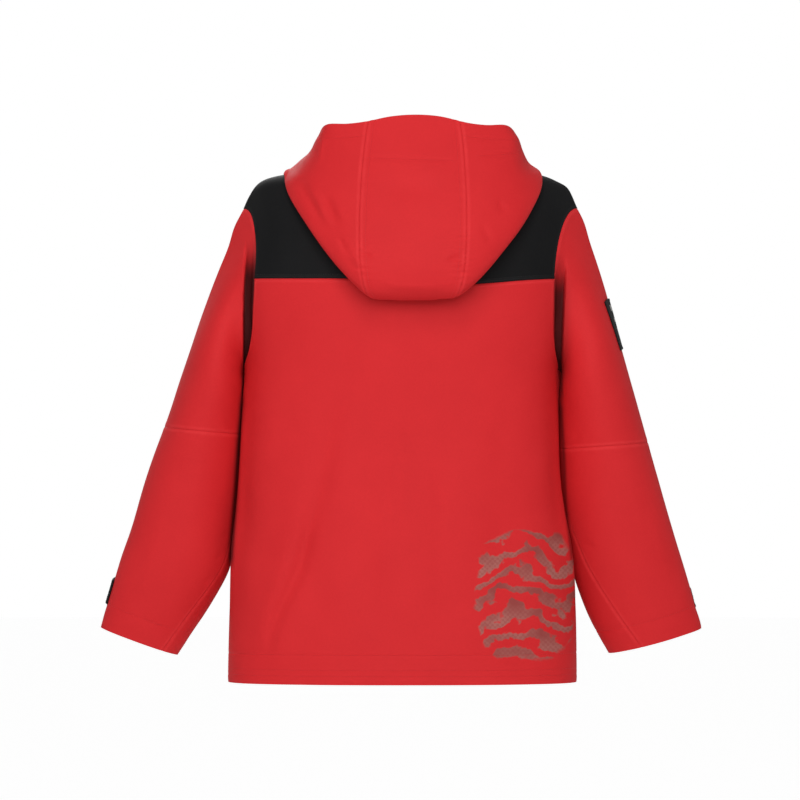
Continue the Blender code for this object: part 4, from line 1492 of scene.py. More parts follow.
@dataclass(frozen=True)
class Finish:
    """What every finish has: its colour and its paler one, and how rough and glossy it is.

    uneven is how much the roughness varies, and scales are those of the fine and slow mottle.
    """

    name: str
    slot: str
    colour: Triple
    pale: Triple
    roughness: float = 0.72
    uneven: float = 0.16
    specular: float = 0.25
    metallic: float = 0.0
    scales: Pair = (420.0, 14.0)

    def build(self) -> Look:
        """Makes the material.

        Returns:
            The material.
        """
        made = bpy.data.materials.new(self.name)
        made.use_nodes = True
        made.diffuse_color = (*self.colour, 1)
        wiring = Wiring(made.node_tree)
        shader = made.node_tree.nodes["Principled BSDF"].inputs
        shader["Specular IOR Level"].default_value = self.specular
        shader["Metallic"].default_value = self.metallic
        fine, slow = self.scales
        scaled = {"Place": wiring.solid(), "Fine scale": fine, "Slow scale": slow}
        mottle = wiring.shared("mottle", scaled)
        rough = wiring.maths("MULTIPLY_ADD", mottle, self.uneven, self.roughness - self.uneven / 2)
        wiring.feed(shader["Roughness"], rough)
        colour, relief = self.surface(wiring, mottle)
        wiring.feed(shader["Base Color"], colour)
        if relief is not None:
            wiring.feed(shader["Normal"], relief)
        return made

    def surface(self, wiring: Wiring, mottle: Socket) -> tuple[Socket, Socket | None]:
        """The colour and the relief, if there is any: here the colour alone, mottled.

        Args:
            wiring: the material's wiring.
            mottle: the uneven value about 0.5.

        Returns:
            The colour, and the normal or nothing.
        """
        return wiring.blend(mottle, self.colour, self.pale), None


@dataclass(frozen=True)
class ClothFinish(Finish):
    """A woven shell fabric, with a painted highlight beside its seams and painted shade at the
    bottom of deep folds.

    patchy is the strength and offset of its paler places, threads are those in a metre, and
    weave_height is in metres.
    """

    patchy: Pair = (2.6, -0.8)
    threads: float = 1800.0
    weave_height: float = 0.00006
    weave_strength: float = 0.6
    # The next two set how much paler the painted highlight beside the seams is, and the share of
    # the colour left under the darkest painted shade.
    rubbed: float = 0.04
    deep: float = 0.05

    def surface(self, wiring: Wiring, mottle: Socket) -> tuple[Socket, Socket | None]:
        """The cloth's colour, with its painted seam highlight and painted shade, and its weave."""
        steep = wiring.maths("MULTIPLY_ADD", mottle, *self.patchy, clamp=True)
        colour = self.coloured(wiring, wiring.blend(steep, self.colour, self.pale))
        # Painted highlight: a paler line of colour just beside the seams.
        beside = {"Place": wiring.solid(), "From seam": wiring.carried("from_seam")}
        highlight_colour = tuple(self.rubbed * 0.3 + c * 1.12 for c in self.pale)
        colour = wiring.blend(wiring.shared("seam_rub", beside), colour, highlight_colour)
        # Painted shade: the colour darkens where the mesh's shade value marks a deep fold.
        dark = tuple(c * self.deep for c in self.colour)
        colour = wiring.blend(wiring.carried("shade"), colour, dark)
        woven = {"Place": wiring.flat(), "Threads per metre": self.threads}
        relief = {
            "Strength": self.weave_strength,
            "Distance": self.weave_height,
            "Height": wiring.shared("plain_weave", woven),
        }
        return colour, wiring.node("ShaderNodeBump", relief).outputs[0]

    def coloured(self, wiring: Wiring, colour: Socket) -> Socket:
        """The colour as it reaches the shader: a printed finish lays its print over it."""
        return colour


@dataclass(frozen=True)
class PrintedFinish(ClothFinish):
    """The shell with a plain printed block: wavy brushed bands broken up by rows of dots.

    middle, half, band and dot are in metres. ragged and edge shape the block's outline, sway and
    lift the bands' waves, brush and cover their edges, and inked where the light ink lies.
    """

    middle: Pair = (-0.166, -0.592)
    half: Pair = (0.070, 0.086)
    band: float = 0.027
    dot: float = 0.0034
    light: Triple = (0.37, 0.135, 0.115)
    dark: Triple = (0.26, 0.052, 0.046)
    grain: tuple[Pair, ...] = ((26.0, 3.0), (140.0, 4.0))
    ragged: float = 0.9
    edge: Pair = (-7.0, 10.6)
    sway: Pair = (52.0, 0.35)
    lift: float = 2.6
    brush: float = 2.2
    cover: Pair = (1.9, 0.35)
    inked: Pair = (3.2, -1.1)
    dotted: Pair = (0.9, 0.4)
    full: float = 0.92

    def coloured(self, wiring: Wiring, colour: Socket) -> Socket:
        """Lays the printed block over the cloth's colour."""
        sums = wiring.maths
        x, _, z = wiring.split(wiring.solid())
        flat = wiring.node("ShaderNodeCombineXYZ", {0: x, 1: z}).outputs[0]
        slow, fine = (wiring.noise(flat, scale, detail) for scale, detail in self.grain)
        offs = [
            sums("POWER", sums("DIVIDE", sums("ABSOLUTE", sums("SUBTRACT", at, middle)), half), 3.0)
            for at, middle, half in zip((x, z), self.middle, self.half)
        ]
        ragged = sums("MULTIPLY_ADD", slow, self.ragged, sums("ADD", *offs))
        inside = sums("MULTIPLY_ADD", ragged, *self.edge, clamp=True)
        rate, height = self.sway
        sway = sums("MULTIPLY", sums("SINE", sums("MULTIPLY", x, rate)), height)
        lifted = sums("ADD", sway, sums("MULTIPLY", slow, self.lift))
        turns = sums("ADD", sums("DIVIDE", z, self.band), lifted)
        wave = sums("SINE", sums("MULTIPLY", turns, 2 * math.pi))
        brushed = sums("MULTIPLY_ADD", sums("SUBTRACT", fine, 0.5), self.brush, wave)
        shown_share = sums("MULTIPLY_ADD", brushed, *self.cover, clamp=True)
        pitch = math.pi / self.dot
        dots = sums("MULTIPLY", *(sums("SINE", sums("MULTIPLY", at, pitch)) for at in (x, z)))
        least, strength = self.dotted
        gaps = sums("MULTIPLY", sums("GREATER_THAN", sums("ADD", dots, wave), least), strength)
        inked = sums("MULTIPLY_ADD", slow, *self.inked, clamp=True)
        ink = wiring.blend(gaps, wiring.blend(inked, self.dark, self.light), self.dark)
        share = sums("MULTIPLY", sums("MULTIPLY", inside, shown_share), self.full)
        return wiring.blend(share, colour, ink)


@dataclass(frozen=True)
class PatchFinish(ClothFinish):
    """Black woven patch with plain pale bars across it, places in metres on its own lengths."""

    bars: tuple[Pair, ...] = ((0.013, 0.0042), (0.030, 0.0030), (0.046, 0.0055))
    margin: float = 0.010
    wide: float = 0.063
    thread: Triple = (0.42, 0.41, 0.39)
    full: float = 0.85

    def coloured(self, wiring: Wiring, colour: Socket) -> Socket:
        """Lays the pale bars over the black."""
        across, down, _ = wiring.split(wiring.flat())

        def within(place: Socket, middle: float, half: float) -> Socket:
            """Whether a place lies within half of a middle."""
            off = wiring.maths("ABSOLUTE", wiring.maths("SUBTRACT", place, middle))
            return wiring.maths("LESS_THAN", off, half)

        first, *others = (within(down, middle, half) for middle, half in self.bars)
        for bar in others:
            first = wiring.maths("MAXIMUM", first, bar)
        inside = within(across, self.wide / 2, self.wide / 2 - self.margin)
        share = wiring.maths("MULTIPLY", wiring.maths("MULTIPLY", inside, first), self.full)
        return wiring.blend(share, colour, self.thread)


@dataclass(frozen=True)
class MetalFinish(Finish):
    """Dark plated metal with fine brushing, rubbed paler in places; brushing is in metres."""

    patchy: Pair = (3.0, -1.2)
    brushing: float = 0.00004

    def surface(self, wiring: Wiring, mottle: Socket) -> tuple[Socket, Socket | None]:
        """The rubbed metal's colour, and its brushing."""
        rubbed = wiring.maths("MULTIPLY_ADD", mottle, *self.patchy, clamp=True)
        brushed = {"Distance": self.brushing, "Height": mottle}
        relief = wiring.node("ShaderNodeBump", brushed).outputs[0]
        return wiring.blend(rubbed, self.colour, self.pale), relief


RED, RED_PALE = (0.60, 0.012, 0.016), (0.65, 0.017, 0.021)
BLACK, BLACK_PALE = (0.005, 0.005, 0.0055), (0.012, 0.012, 0.012)
RED_SHELL = ClothFinish("red_shell_cloth", "red_shell", RED, RED_PALE)
RED_PRINT = PrintedFinish("red_shell_printed", "red_shell", RED, RED_PALE)
BLACK_SHELL = ClothFinish(
    "black_shell_cloth", "black_shell", BLACK, (0.008, 0.008, 0.0085), specular=0.12, rubbed=0.02
)
COARSE = {"weave_height": 0.00015, "rubbed": 0.0}
TRIM = ("black_trim", BLACK, BLACK_PALE)
TAPE_CLOTH = ClothFinish("black_tape_cloth", *TRIM, threads=900.0, **COARSE)
PATCH_CLOTH = PatchFinish("black_patch_cloth", *TRIM, threads=1100.0, **COARSE)
THREAD = {"roughness": 0.45, "uneven": 0.3, "specular": 0.35, "scales": (1500.0, 14.0)}
RED_THREAD = Finish(
    "red_thread", "red_shell", (0.42, 0.010, 0.013), (0.63, 0.015, 0.0195), **THREAD
)
BLACK_THREAD = Finish("black_thread", "black_trim", (0.006,) * 3, (0.009,) * 3, **THREAD)
DARK_METAL = MetalFinish(
    "dark_metal_plate", "dark_metal", (0.10, 0.10, 0.11), (0.32, 0.31, 0.30),
    roughness=0.34, uneven=0.24, specular=0.5, metallic=1.0, scales=(2600.0, 240.0),
)
CLOTHS = (RED_SHELL, RED_PRINT, BLACK_SHELL, TAPE_CLOTH, PATCH_CLOTH)
FINISHES = (*CLOTHS, RED_THREAD, BLACK_THREAD, DARK_METAL)


# ---------------------------------------------------------------- what is sewn on
BEHIND, AHEAD = (0.0, 1.0, 0.0), (0.0, -1.0, 0.0)  # the ways the back and the fronts face


@dataclass(frozen=True)
class SleeveFace:
    """The outside of a sleeve: down it by place, round it in mm from its outermost line.

    That line is looked for between the shares low and high, at as many steps as search says.
    corners is how many points a ring's length is measured by.
    """

    shape: SleeveShape
    low: float = 0.35
    high: float = 0.85
    search: int = 101
    corners: int = 33
    halvings: int = 20

    def row(self, place: float, arounds: Array) -> Array:
        """Points round the sleeve at one place down it.

        Args:
            place: how far down the sleeve it is.
            arounds: how far round each point is, mm.

        Returns:
            The points, mm.
        """

        def ring(shares: Array) -> Array:
            """The sleeve's points at shares of the way round."""
            return self.shape.point(shares, np.full(len(shares), place))

        shares = np.linspace(self.low, self.high, self.search)
        across = self.shape.side.value * ring(shares)[:, 0]
        length = lengths_along(ring(np.linspace(0, 1, self.corners)))[-1]
        return ring(shares[int(np.argmax(across))] + arounds / length)

    def place_at(self, z: float) -> float:
        """Place on the cap whose outermost point is at a height.

        Args:
            z: the height, mm.

        Returns:
            The place, from -1 to 0.
        """
        low, high = -1.0, 0.0
        for _ in range(self.halvings):
            half = (low + high) / 2
            low, high = (half, high) if self.row(half, np.zeros(1))[0, 2] > z else (low, half)
        return (low + high) / 2


@dataclass(frozen=True)
class SewnOn:
    """A flat piece sewn on the outside of a sleeve, with a raised rim, mm.

    span is its range down the sleeve: heights on the cap, or places below it. around is its
    range round it, and taper how much narrower its far end is, past the share narrows. line is
    its stitches' distance from its edges.
    """

    name: str
    node: str
    under: str
    side: Side
    span: Pair
    around: Pair
    thick: float
    on_cap: bool = False
    taper: float = 0.0
    above: float = 0.4
    rim: float = 0.45
    rim_at: Pair = (1.4, 1.1)
    narrows: float = 0.55
    line: float = 2.4
    fine: float = 2.4

    def panel(self, shape: SleeveShape, under: Panel) -> Panel:
        """The piece, following the sleeve's shaped cloth.

        Args:
            shape: the sleeve.
            under: the panel that it is sewn on.

        Returns:
            Its panel.
        """
        face = SleeveFace(shape)
        first, last = (face.place_at(z) for z in self.span) if self.on_cap else self.span
        start, end = self.around
        length = np.linalg.norm(face.row(last, np.zeros(1)) - face.row(first, np.zeros(1)))
        rounds = spread(end - start, step=self.fine)
        places = first + (last - first) * spread(length, step=self.fine)
        grid = np.array([face.row(place, start + (end - start) * rounds) for place in places])
        if self.taper:
            share = (rounds - self.narrows) / (1 - self.narrows)
            grid = grid + (grid[len(grid) // 2] - grid) * (self.taper * ease(share))[None, :, None]
        tree = tree_of([under], shaped=True)
        grid = [[np.array(tree.find_nearest(Vector(p) * MM)[0]) / MM for p in row] for row in grid]
        outside = (float(self.side.value), 0.0, 0.2)
        made = Panel(self.name, np.array(grid), (self.node,), outside, held="laid", wall=self.thick)
        made.rests_on = (under.name,)
        made.stitches = tuple(TopStitch(edge, self.line) for edge in Edge)
        place, width = self.rim_at
        raised = self.rim * bump(made.from_seams() - place, width)
        made.raise_by(self.above + self.thick + raised)
        return made


@dataclass(frozen=True)
class ZipFastener:
    """The zip behind the front opening: its tape and two rows of teeth, mm.

    half is half the tape's width, and gap how far it lies behind the cloth. It stops end short
    of both ends of the opening. Its columns run from the right edge to the left one.
    """

    half: float = 10.5
    gap: float = 1.3
    thick: float = 1.0
    end: float = 3.0
    row_off: float = 1.35
    teeth_top: float = -44.0
    teeth_out: float = 0.6
    between: tuple[float, ...] = (0.25, 0.5, 0.75)
    middle: int = 3
    tooth: Repeat = Repeat("zip_teeth", Shape.TOOTH, 3.0, (1.7, 3.6, 2.0))

    def tape(self, panels: dict[str, Panel]) -> Panel:
        """The tape, from the hem to the top of the collar, behind the panels' edges.

        Args:
            panels: the cut panels, by the frame's nodes.

        Returns:
            Its panel.
        """
        columns = []
        reach = self.half - ZIP_HALF
        right, left = (Side.RIGHT, Edge.FIRST), (Side.LEFT, Edge.LAST)
        for (side, on_hood), off in ((right, reach), (right, 0.0), (left, 0.0), (left, reach)):
            behind = []
            for part in ("front", "front_yoke", "hood"):
                panel = panels[f"{part}_{side.word}"]
                points, lies = panel.line(on_hood if part == "hood" else Edge.LAST, off)
                behind.append(points - (panel.wall + self.gap) * lies)
            front, yoke, hood = behind
            columns.append(np.concatenate([front[:-1], yoke, hood[3::5]]))
        first, right, left, last = columns
        inner = [right + (left - right) * share for share in self.between]
        grid = np.stack([first, right, *inner, left, last], axis=1)
        along = lengths_along(grid[:, self.middle])
        inside = (along > self.end) & (along < along[-1] - self.end)
        made = Panel("zip_tape", grid[inside], ("front_zip",), AHEAD, held="laid", wall=self.thick)
        made.seams, made.rests_on = (), ("front_panel_left", "front_panel_right")
        return made

    def teeth_lines(self, tape: Panel) -> list[tuple[Array, Array]]:
        """Where the two rows of teeth run, half a pitch apart.

        Args:
            tape: the zip's tape.

        Returns:
            Each row's points, and which way is out at each.
        """
        below = tape.outer[:, self.middle, 2] < self.teeth_top
        middle, lies = tape.outer[below, self.middle], tape.normals[below, self.middle]
        across = unit(tape.outer[below, self.middle + 1] - tape.outer[below, self.middle - 1])
        left = middle + self.row_off * across + self.teeth_out * lies
        right = (middle - self.row_off * across + self.teeth_out * lies)[::-1]
        way = unit(right[1] - right[0])
        right[0] = right[0] + way * self.tooth.pitch / 2
        return [(left, lies), (right, lies[::-1])]


SEWN_ON = (
    SewnOn(
        "sleeve_badge_blank", "sleeve_patch", "sleeve_upper_right", Side.RIGHT,
        span=(-194.0, -262.0), around=(-36.0, 27.0), thick=1.6, on_cap=True,
    ),
    SewnOn(
        "cuff_strap_left", "cuff_tab_left", "sleeve_lower_left", Side.LEFT,
        span=(4.52, 5.42), around=(-78.0, 7.0), thick=2.6, taper=0.25,
    ),
    SewnOn(
        "cuff_strap_right", "cuff_tab_right", "sleeve_lower_right", Side.RIGHT,
        span=(4.52, 5.42), around=(-88.0, -14.0), thick=2.6, taper=0.25,
    ),
)


# ---------------------------------------------------------------- the jacket
SLEEVES = {
    Side.LEFT: SleeveShape(Side.LEFT, 1.5, (
        (215.5, -320, 290.5, -276, -4, 76, 0),
        (219, -377, 321, -367, -10, 69, 0),
        (223, -450, 342.5, -428, -16, 63, 4),
        (229, -525, 366, -503, -22, 57, 20),
        (235.5, -565, 380, -545, -26, 53, 32),
        (265.5, -618, 394, -592, -32, 45, 44),
        (303.8, -676, 408, -638.5, -38, 35, 52),
    )),
    Side.RIGHT: SleeveShape(Side.RIGHT, 4, (
        (213.5, -320, 301, -276, -4, 76, 0),
        (216.5, -397, 331.5, -388, -11, 68, 0),
        (219.8, -460, 350, -450, -17, 62, 12),
        (226.3, -530, 370.5, -517, -23, 56, 36),
        (232.5, -568, 383.5, -560, -27, 52, 48),
        (252, -622, 394.5, -601, -32, 44, 62),
        (279, -673.5, 402, -639.5, -37, 36, 74),
    )),
}
# About how long the pieces are, mm, which gives them their number of points.
BODY_HALF, SHOULDER, YOKE_RISE, HOOD_RISE = 330.0, 150.0, 165.0, 450.0
SLEEVE_ROUND, CAP, UPPER, LOWER = 430.0, 150.0, 110.0, 310.0
RING, REACH = 400.0, 120.0  # round a sleeve, and down it between rings or up a yoke, at a seam
OPEN_LOW = (Edge.HIGH, Edge.FIRST, Edge.LAST)  # sewn edges of a panel that ends in a hem
OPEN_HIGH = (Edge.LOW, Edge.FIRST, Edge.LAST)
HEM = TopStitch(Edge.LOW, 39.5)
CASING = (TopStitch(Edge.LOW, 19.5), TopStitch(Edge.LOW, 11.5))
BESIDE_ZIP = TopStitch(Edge.LAST, 7.0)
YOKE_SEAM = TopStitch(Edge.LOW, 5.5)
CUFF = TopStitch(Edge.HIGH, 35.0)
BRIM = TopStitch(Edge.HIGH, 22.0)
BESIDE_CENTRE = 9.0
HOOD_SPACING = {"centre": 150.0, "left": 400.0, "right": 400.0}
HOOD_PUCKERS = {
    "centre": (
        Pucker(Edge.FIRST, -186, -86, 9, 1.5, 13),
        Pucker(Edge.FIRST, -110, 20, 11.5, 0.5, 8, 1),
        Pucker(Edge.LAST, -186, -94, 9.6, 1.2, 10, 1),
        Pucker(Edge.LAST, -110, 20, 12.5, 0.5, 8, 2),
    ),
    "right": (Pucker(Edge.LAST, -186, -86, 9, 1.2, 9),),
    "left": (Pucker(Edge.FIRST, -186, -94, 9.6, 1, 8, 1),),
}


@dataclass
class Jacket:
    """The whole garment: makes its panels in order, and dresses them.

    tuck is how far a sleeve's edge runs in under the body, and tucked the height where that
    starts and how far down it takes to reach its full length.
    """

    frame: dict
    body: BodyShape = BodyShape()
    yoke: YokeShape = YokeShape()
    hood: HoodShape = HoodShape()
    drape: Drape = Drape()
    fastener: ZipFastener = ZipFastener()
    tuck: float = 4.5
    tucked: Pair = (-200.0, 40.0)
    stitch: Repeat = Repeat("stitches", Shape.STITCH, 3.1, (2.3, 0.62, 0.5), jitter=0.12)
    panels: dict[str, Panel] = field(default_factory=dict)
    finishes: dict[str, Look] = field(default_factory=dict)
    seams: dict[str, list] = field(default_factory=lambda: {"red": [], "black": []})

    def body_heights(self) -> Array:
        """Heights of the body panels' rows."""
        body = self.body
        low = spread(body.underarm - body.hem, focus=(HEM.off,))
        below = body.hem + (body.underarm - body.hem) * low[:-3]
        above = body.armhole_heights(ARMHOLE_ROWS + 2)
        above[-1] -= SEAM / 2
        return np.concatenate([below, above])

    def cut_body(self) -> None:
        """The red panels below the yoke seam."""
        heights = self.body_heights()
        half = spread(BODY_HALF)
        shares = np.concatenate([half - 1, (1 - half[::-1])[1:]])
        z, share = np.meshgrid(heights, shares, indexing="ij")
        edge = self.body.edge_angle(1, z)
        angle = edge + (math.pi / 2 - edge) * (1 - np.abs(share))
        side = np.where(share <= 0, 1, -1)
        points = self.body.point(side, angle, z)
        back = Panel("back_panel", points, ("back",), BEHIND, seams=OPEN_LOW)
        back.rests_on, back.stitches = ("yoke_back",), (HEM, *CASING)
        self.panels["back"] = back
        for side in Side:
            z, share = np.meshgrid(heights, half, indexing="ij")
            edge, centre = self.body.edge_angle(-1, z), self.body.centre_angle(-1, z)
            points = self.body.point(side.value, edge + (centre - edge) * share, z)
            name = f"front_{side.word}"
            front = Panel(f"front_panel_{side.word}", points, (name,), AHEAD, seams=OPEN_LOW)
            front.stitches = (HEM, *CASING, BESIDE_ZIP)
            front.rests_on = (f"yoke_front_{side.word}",)
            self.panels[name] = front

    def yoke_half(self, side: int, face: int) -> Array:
        """Outer points of half a yoke, from its seam up.

        Args:
            side: 1 left, -1 right.
            face: 1 back, -1 front.

        Returns:
            The points, mm.
        """
        share = self.yoke.neck_share
        shoulder, neck = spread(SHOULDER) * share, share + spread(SHOULDER) * (1 - share)
        columns = np.concatenate([shoulder, neck[1:]])
        t, s = np.meshgrid(spread(YOKE_RISE), columns, indexing="ij")
        reach = self.yoke.point(side, face, s, t * 0 + 1) - self.yoke.point(side, face, s, t * 0)
        reach = np.linalg.norm(reach, axis=-1)
        top = np.where(s <= share + 1e-6, 1 - SEAM / 2 / reach, 1.0)
        low = SEAM / 2 / REACH
        t = low + t * (top - low)
        return self.yoke.point(side, face, s, t)

    def cut_yokes(self) -> None:
        """The black panels over the shoulders."""
        left, right = self.yoke_half(1, 1), self.yoke_half(-1, 1)
        whole = np.concatenate([left, right[:, -2::-1]], axis=1)
        back = Panel("yoke_back", whole, ("back_yoke",), (0.0, 1.0, 0.3), held="draped")
        back.stitches = (YOKE_SEAM,)
        self.panels["back_yoke"] = back
        for side in Side:
            node = f"front_yoke_{side.word}"
            points = self.yoke_half(side.value, -1)
            front = Panel(f"yoke_front_{side.word}", points, (node,), (0.0, -1.0, 0.3))
            front.held, front.stitches = "draped", (YOKE_SEAM, BESIDE_ZIP)
            self.panels[node] = front

    def cut_sleeves(self) -> None:
        """Each sleeve, above and below its elbow seam."""
        for side in Side:
            shape = SLEEVES[side]
            round_it = spread(SLEEVE_ROUND) * (1 - SEAM / RING) + SEAM / (2 * RING)
            cap = spread(CAP, step=FINE_STEP)[:-3] - 1
            gap = SEAM / REACH
            upper = spread(UPPER)[3:] * (shape.elbow - gap)
            lower = spread(LOWER, focus=(LOWER - CUFF.off,))
            lower = shape.elbow + gap + lower * (shape.cuff - shape.elbow - gap)
            outside = (float(side.value), 0.0, 0.3)
            for part, places in (("upper", np.concatenate([cap, [0.0], upper])), ("lower", lower)):
                place, share = np.meshgrid(places, round_it, indexing="ij")
                points = shape.point(share, place)
                node = f"sleeve_{part}_{side.word}"
                if part == "upper":
                    below, fades = self.tucked
                    low = ease((below - points[0, :, 2]) / fades)[:, None]
                    points[0] -= self.tuck * low * shape.leaves(round_it)
                panel = Panel(f"{part}_sleeve_{side.word}", points, (node,), outside)
                panel.rests_on, panel.ditch = (f"yoke_front_{side.word}",), 0.4
                if part == "lower":
                    panel.seams, panel.stitches = OPEN_HIGH, (CUFF,)
                    panel.rests_on = (f"upper_sleeve_{side.word}",)
                self.panels[node] = panel

    def cut_hood(self) -> None:
        """The hood's three panels, over the yokes and the back."""
        under = [self.panels[n] for n in ("back", "back_yoke", "front_left", "front_right")]
        under += [self.panels[f"front_yoke_{side.word}"] for side in Side]
        control = self.hood.control(tree_of(under))
        middle = len(self.hood.columns()) - 1
        right_seam, left_seam = (middle + place for place in self.hood.seams)
        rows = spread(HOOD_RISE, step=FINE_STEP) * self.hood.bands
        cuts = (
            ("centre", right_seam, left_seam, 0.0),
            ("left", left_seam, 2 * middle, 1.0),
            ("right", 0, right_seam, -1.0),
        )
        for part, first, last, facing in cuts:
            columns = first + spread(HOOD_SPACING[part]) * (last - first)
            points = refined(control, rows, columns)
            for edge, sign in ((0, 1), (-1, -1)):
                if (first, last)[edge] in (0, 2 * middle):
                    continue
                along = unit(np.gradient(points[:, edge], axis=0))
                across = points[:, edge + sign] - points[:, edge]
                across = across - np.sum(across * along, axis=1, keepdims=True) * along
                points[:, edge] += 0.2 * SEAM * unit(across)
            node = f"hood_{part}"
            panel = Panel(f"{node}_panel", points, (node,), (facing, 0.3, 0.0), held="folded")
            panel.rests_on, panel.ditch, panel.seams = ("yoke_back",), 0.28, OPEN_HIGH
            panel.puckers, panel.stitches = HOOD_PUCKERS[part], (BRIM,)
            self.panels[node] = panel
        centre, left, right = (self.panels[f"hood_{part}"] for part in HOOD_SPACING)
        centre.stitches = tuple(TopStitch(edge, BESIDE_CENTRE) for edge in (Edge.FIRST, Edge.LAST))
        for side, here, there in ((right, Edge.LAST, Edge.FIRST), (left, Edge.FIRST, Edge.LAST)):
            meet(side, here, centre, there)

    def sew(self) -> None:
        """Shapes every panel's cloth and makes its mesh, then lays out its stitches."""
        for node, panel in self.panels.items():
            panel.shaped(FOLDS, self.drape)
            black = "yoke" in node
            looks = [self.finishes[(BLACK_SHELL if black else RED_SHELL).name]]
            if node == "back":
                looks.insert(0, self.finishes[RED_PRINT.name])
            self.show_cloth(panel, looks)
            self.seams["black" if black else "red"] += panel.stitch_lines()
        hood = tree_of([self.panels[f"hood_{part}"] for part in HOOD_SPACING], shaped=True)
        for line in BRIM_LINES:
            self.seams["red"].append(laid_line(hood, line, Face.BACK))

    def show_cloth(self, panel: Panel, looks: list[Look]) -> None:
        """Args:
            panel: the shaped panel.
            looks: the material of its outside, and of its inside if that differs.
        """
        piece = self.show(panel.name, panel.mesh(looks), panel.hides)

    def sew_on(self) -> None:
        """The patch, the cuff tabs, the zip and all the stitches."""
        for item in SEWN_ON:
            under = self.panels[item.under]
            panel = item.panel(SLEEVES[item.side], under)
            finish = PATCH_CLOTH if item.on_cap else TAPE_CLOTH
            self.show_cloth(panel, [self.finishes[finish.name]])
            self.seams["black"] += panel.stitch_lines()
        tape = self.fastener.tape(self.panels)
        self.show_cloth(tape, [self.finishes[TAPE_CLOTH.name]])
        lines = self.fastener.teeth_lines(tape)
        teeth = self.fastener.tooth.along(lines, self.finishes[DARK_METAL.name])
        self.show("zip_teeth", teeth)
        for colour, thread in (("red", RED_THREAD), ("black", BLACK_THREAD)):
            mesh = self.stitch.along(self.seams[colour], self.finishes[thread.name])
            self.show(f"{colour}_stitches", mesh)
            LOG.info("%s stitches: %d faces", colour, len(mesh.polygons))
        for node in ("zip_slider", "zip_pull"):
            for place in self.frame["nodes"][node].material_slots:
                place.material = self.finishes[DARK_METAL.name]

    def show(self, name: str, mesh: bpy.types.Mesh, hides: Sequence[str] = ()) -> Piece:
        """Adds a finished mesh as a piece of the jacket.

        Args:
            name: the piece's name.
            mesh: its mesh, in the frame's place.
            hides: the frame's nodes that it stands for.

        Returns:
            The piece.
        """
        piece = shown(name, mesh)
        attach(piece, "jacket")
        if hides:
            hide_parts(*hides)
        return piece

    def build(self) -> None:
        """Makes the whole garment."""
        for group in (weave_group, mottle_group, rub_group):
            group()
        self.finishes = {finish.name: finish.build() for finish in FINISHES}
        self.cut_body()
        self.cut_yokes()
        self.cut_sleeves()
        self.cut_hood()
        self.sew()
        self.sew_on()


# ---------------------------------------------------------------- the studio
@dataclass(frozen=True)
class Lamp:
    """A round soft lamp: its place and size in metres, and its power in watts."""

    name: str
    place: Triple
    size: float
    power: float
    aim: Triple = (0.0, 0.0, -0.3)

    def light(self) -> None:
        """Puts the lamp in the scene."""
        data = bpy.data.lights.new(self.name, "AREA")
        data.shape, data.size, data.energy = "DISK", self.size, self.power
        lamp = shown(self.name, data)
        lamp.location = self.place
        way = Vector(self.aim) - Vector(self.place)
        lamp.rotation_euler = way.to_track_quat("-Z", "Y").to_euler()


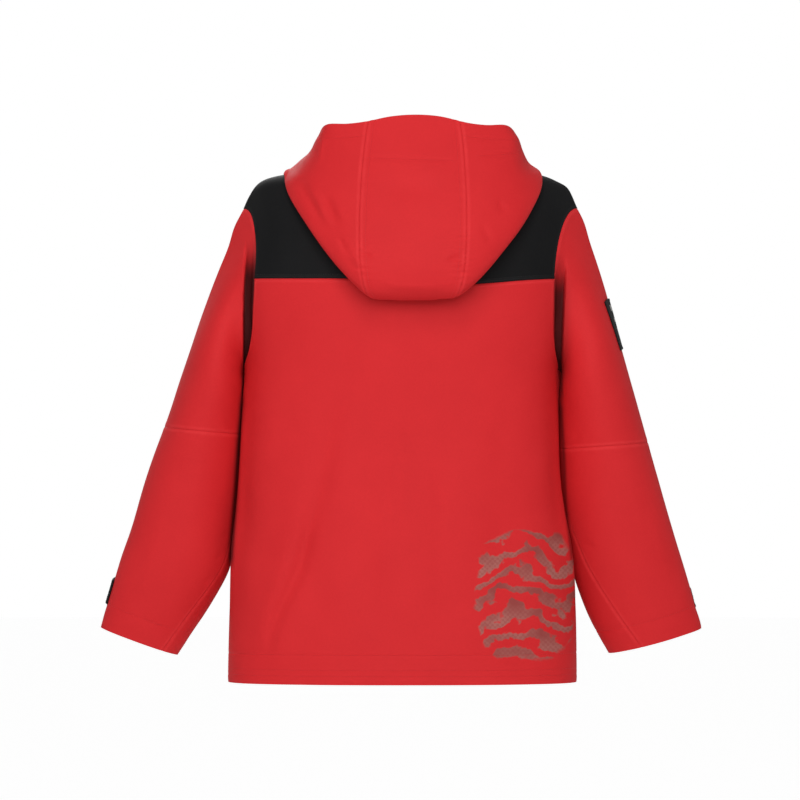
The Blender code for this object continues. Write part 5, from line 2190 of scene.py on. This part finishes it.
@dataclass(frozen=True)
class Studio:
    """A pale floor, soft light and the camera that looks at the jacket's back, in metres.

    ambient is how bright the white surroundings shine on the jacket, and glow is what lifts the
    floor to white where the camera sees it.
    """

    eye: Triple = (0.0027, 9.0, -0.33075)
    lens: float = 300.0
    sensor: float = 36.0
    floor_z: float = -1.6
    floor_radius: float = 30.0
    floor_corners: int = 64
    floor_grey: float = 0.86
    glow: float = 0.62
    ambient: float = 0.42
    lamps: tuple[Lamp, ...] = (
        Lamp("key", (0.0, 3.4, 1.0), 2.6, 67.0),
        Lamp("top", (0.1, 2.1, 2.1), 0.8, 13.0),
        Lamp("side", (3.6, 2.6, 0.6), 2.0, 6.0),
        Lamp("front", (0.8, -4.2, 1.8), 2.4, 90.0),
    )

    def build(self) -> None:
        """Makes the floor, lights, world and camera."""
        scene = bpy.context.scene
        scene.view_settings.view_transform = "Standard"
        camera = shown("camera", bpy.data.cameras.new("camera"))
        camera.data.sensor_width = self.sensor
        camera.data.lens = self.lens
        camera.location = self.eye
        camera.rotation_euler = Vector((0.0, -1.0, 0.0)).to_track_quat("-Z", "Y").to_euler()
        scene.camera = camera
        self.floor()
        self.surroundings()
        for lamp in self.lamps:
            lamp.light()

    def floor(self) -> None:
        """A round pale floor well below the hem."""
        turns = np.linspace(0, 2 * math.pi, self.floor_corners + 1)[:-1]
        round_it = zip(self.floor_radius * np.cos(turns), self.floor_radius * np.sin(turns))
        mesh = bpy.data.meshes.new("floor")
        corners = [(x, y, self.floor_z) for x, y in round_it]
        mesh.from_pydata(corners, [], [tuple(range(self.floor_corners))])
        look = bpy.data.materials.new("pale_floor")
        look.use_nodes = True
        wiring = Wiring(look.node_tree)
        shader = look.node_tree.nodes["Principled BSDF"].inputs
        wiring.feed(shader["Base Color"], (self.floor_grey,) * 3)
        wiring.feed(shader["Roughness"], 0.9)
        wiring.feed(shader["Emission Color"], (1.0, 1.0, 1.0))
        seen = wiring.node("ShaderNodeLightPath").outputs["Is Camera Ray"]
        wiring.feed(shader["Emission Strength"], wiring.maths("MULTIPLY", seen, self.glow))
        mesh.materials.append(look)
        shown("floor", mesh)

    def surroundings(self) -> None:
        """White all round, at full strength where the camera sees it."""
        world = bpy.data.worlds.new("studio")
        world.use_nodes = True
        wiring = Wiring(world.node_tree)
        sky = world.node_tree.nodes["Background"].inputs
        wiring.feed(sky[0], (1.0, 1.0, 1.0))
        seen = wiring.node("ShaderNodeLightPath").outputs["Is Camera Ray"]
        wiring.feed(sky[1], wiring.maths("MULTIPLY_ADD", seen, 1 - self.ambient, self.ambient))
        bpy.context.scene.world = world


def main() -> None:
    """Builds the jacket's looks and the studio round the frame."""
    logging.basicConfig(level=logging.INFO, format="%(name)s: %(message)s")
    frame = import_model()
    Studio().build()
    Jacket(frame).build()


if __name__ == "__main__":
    main()
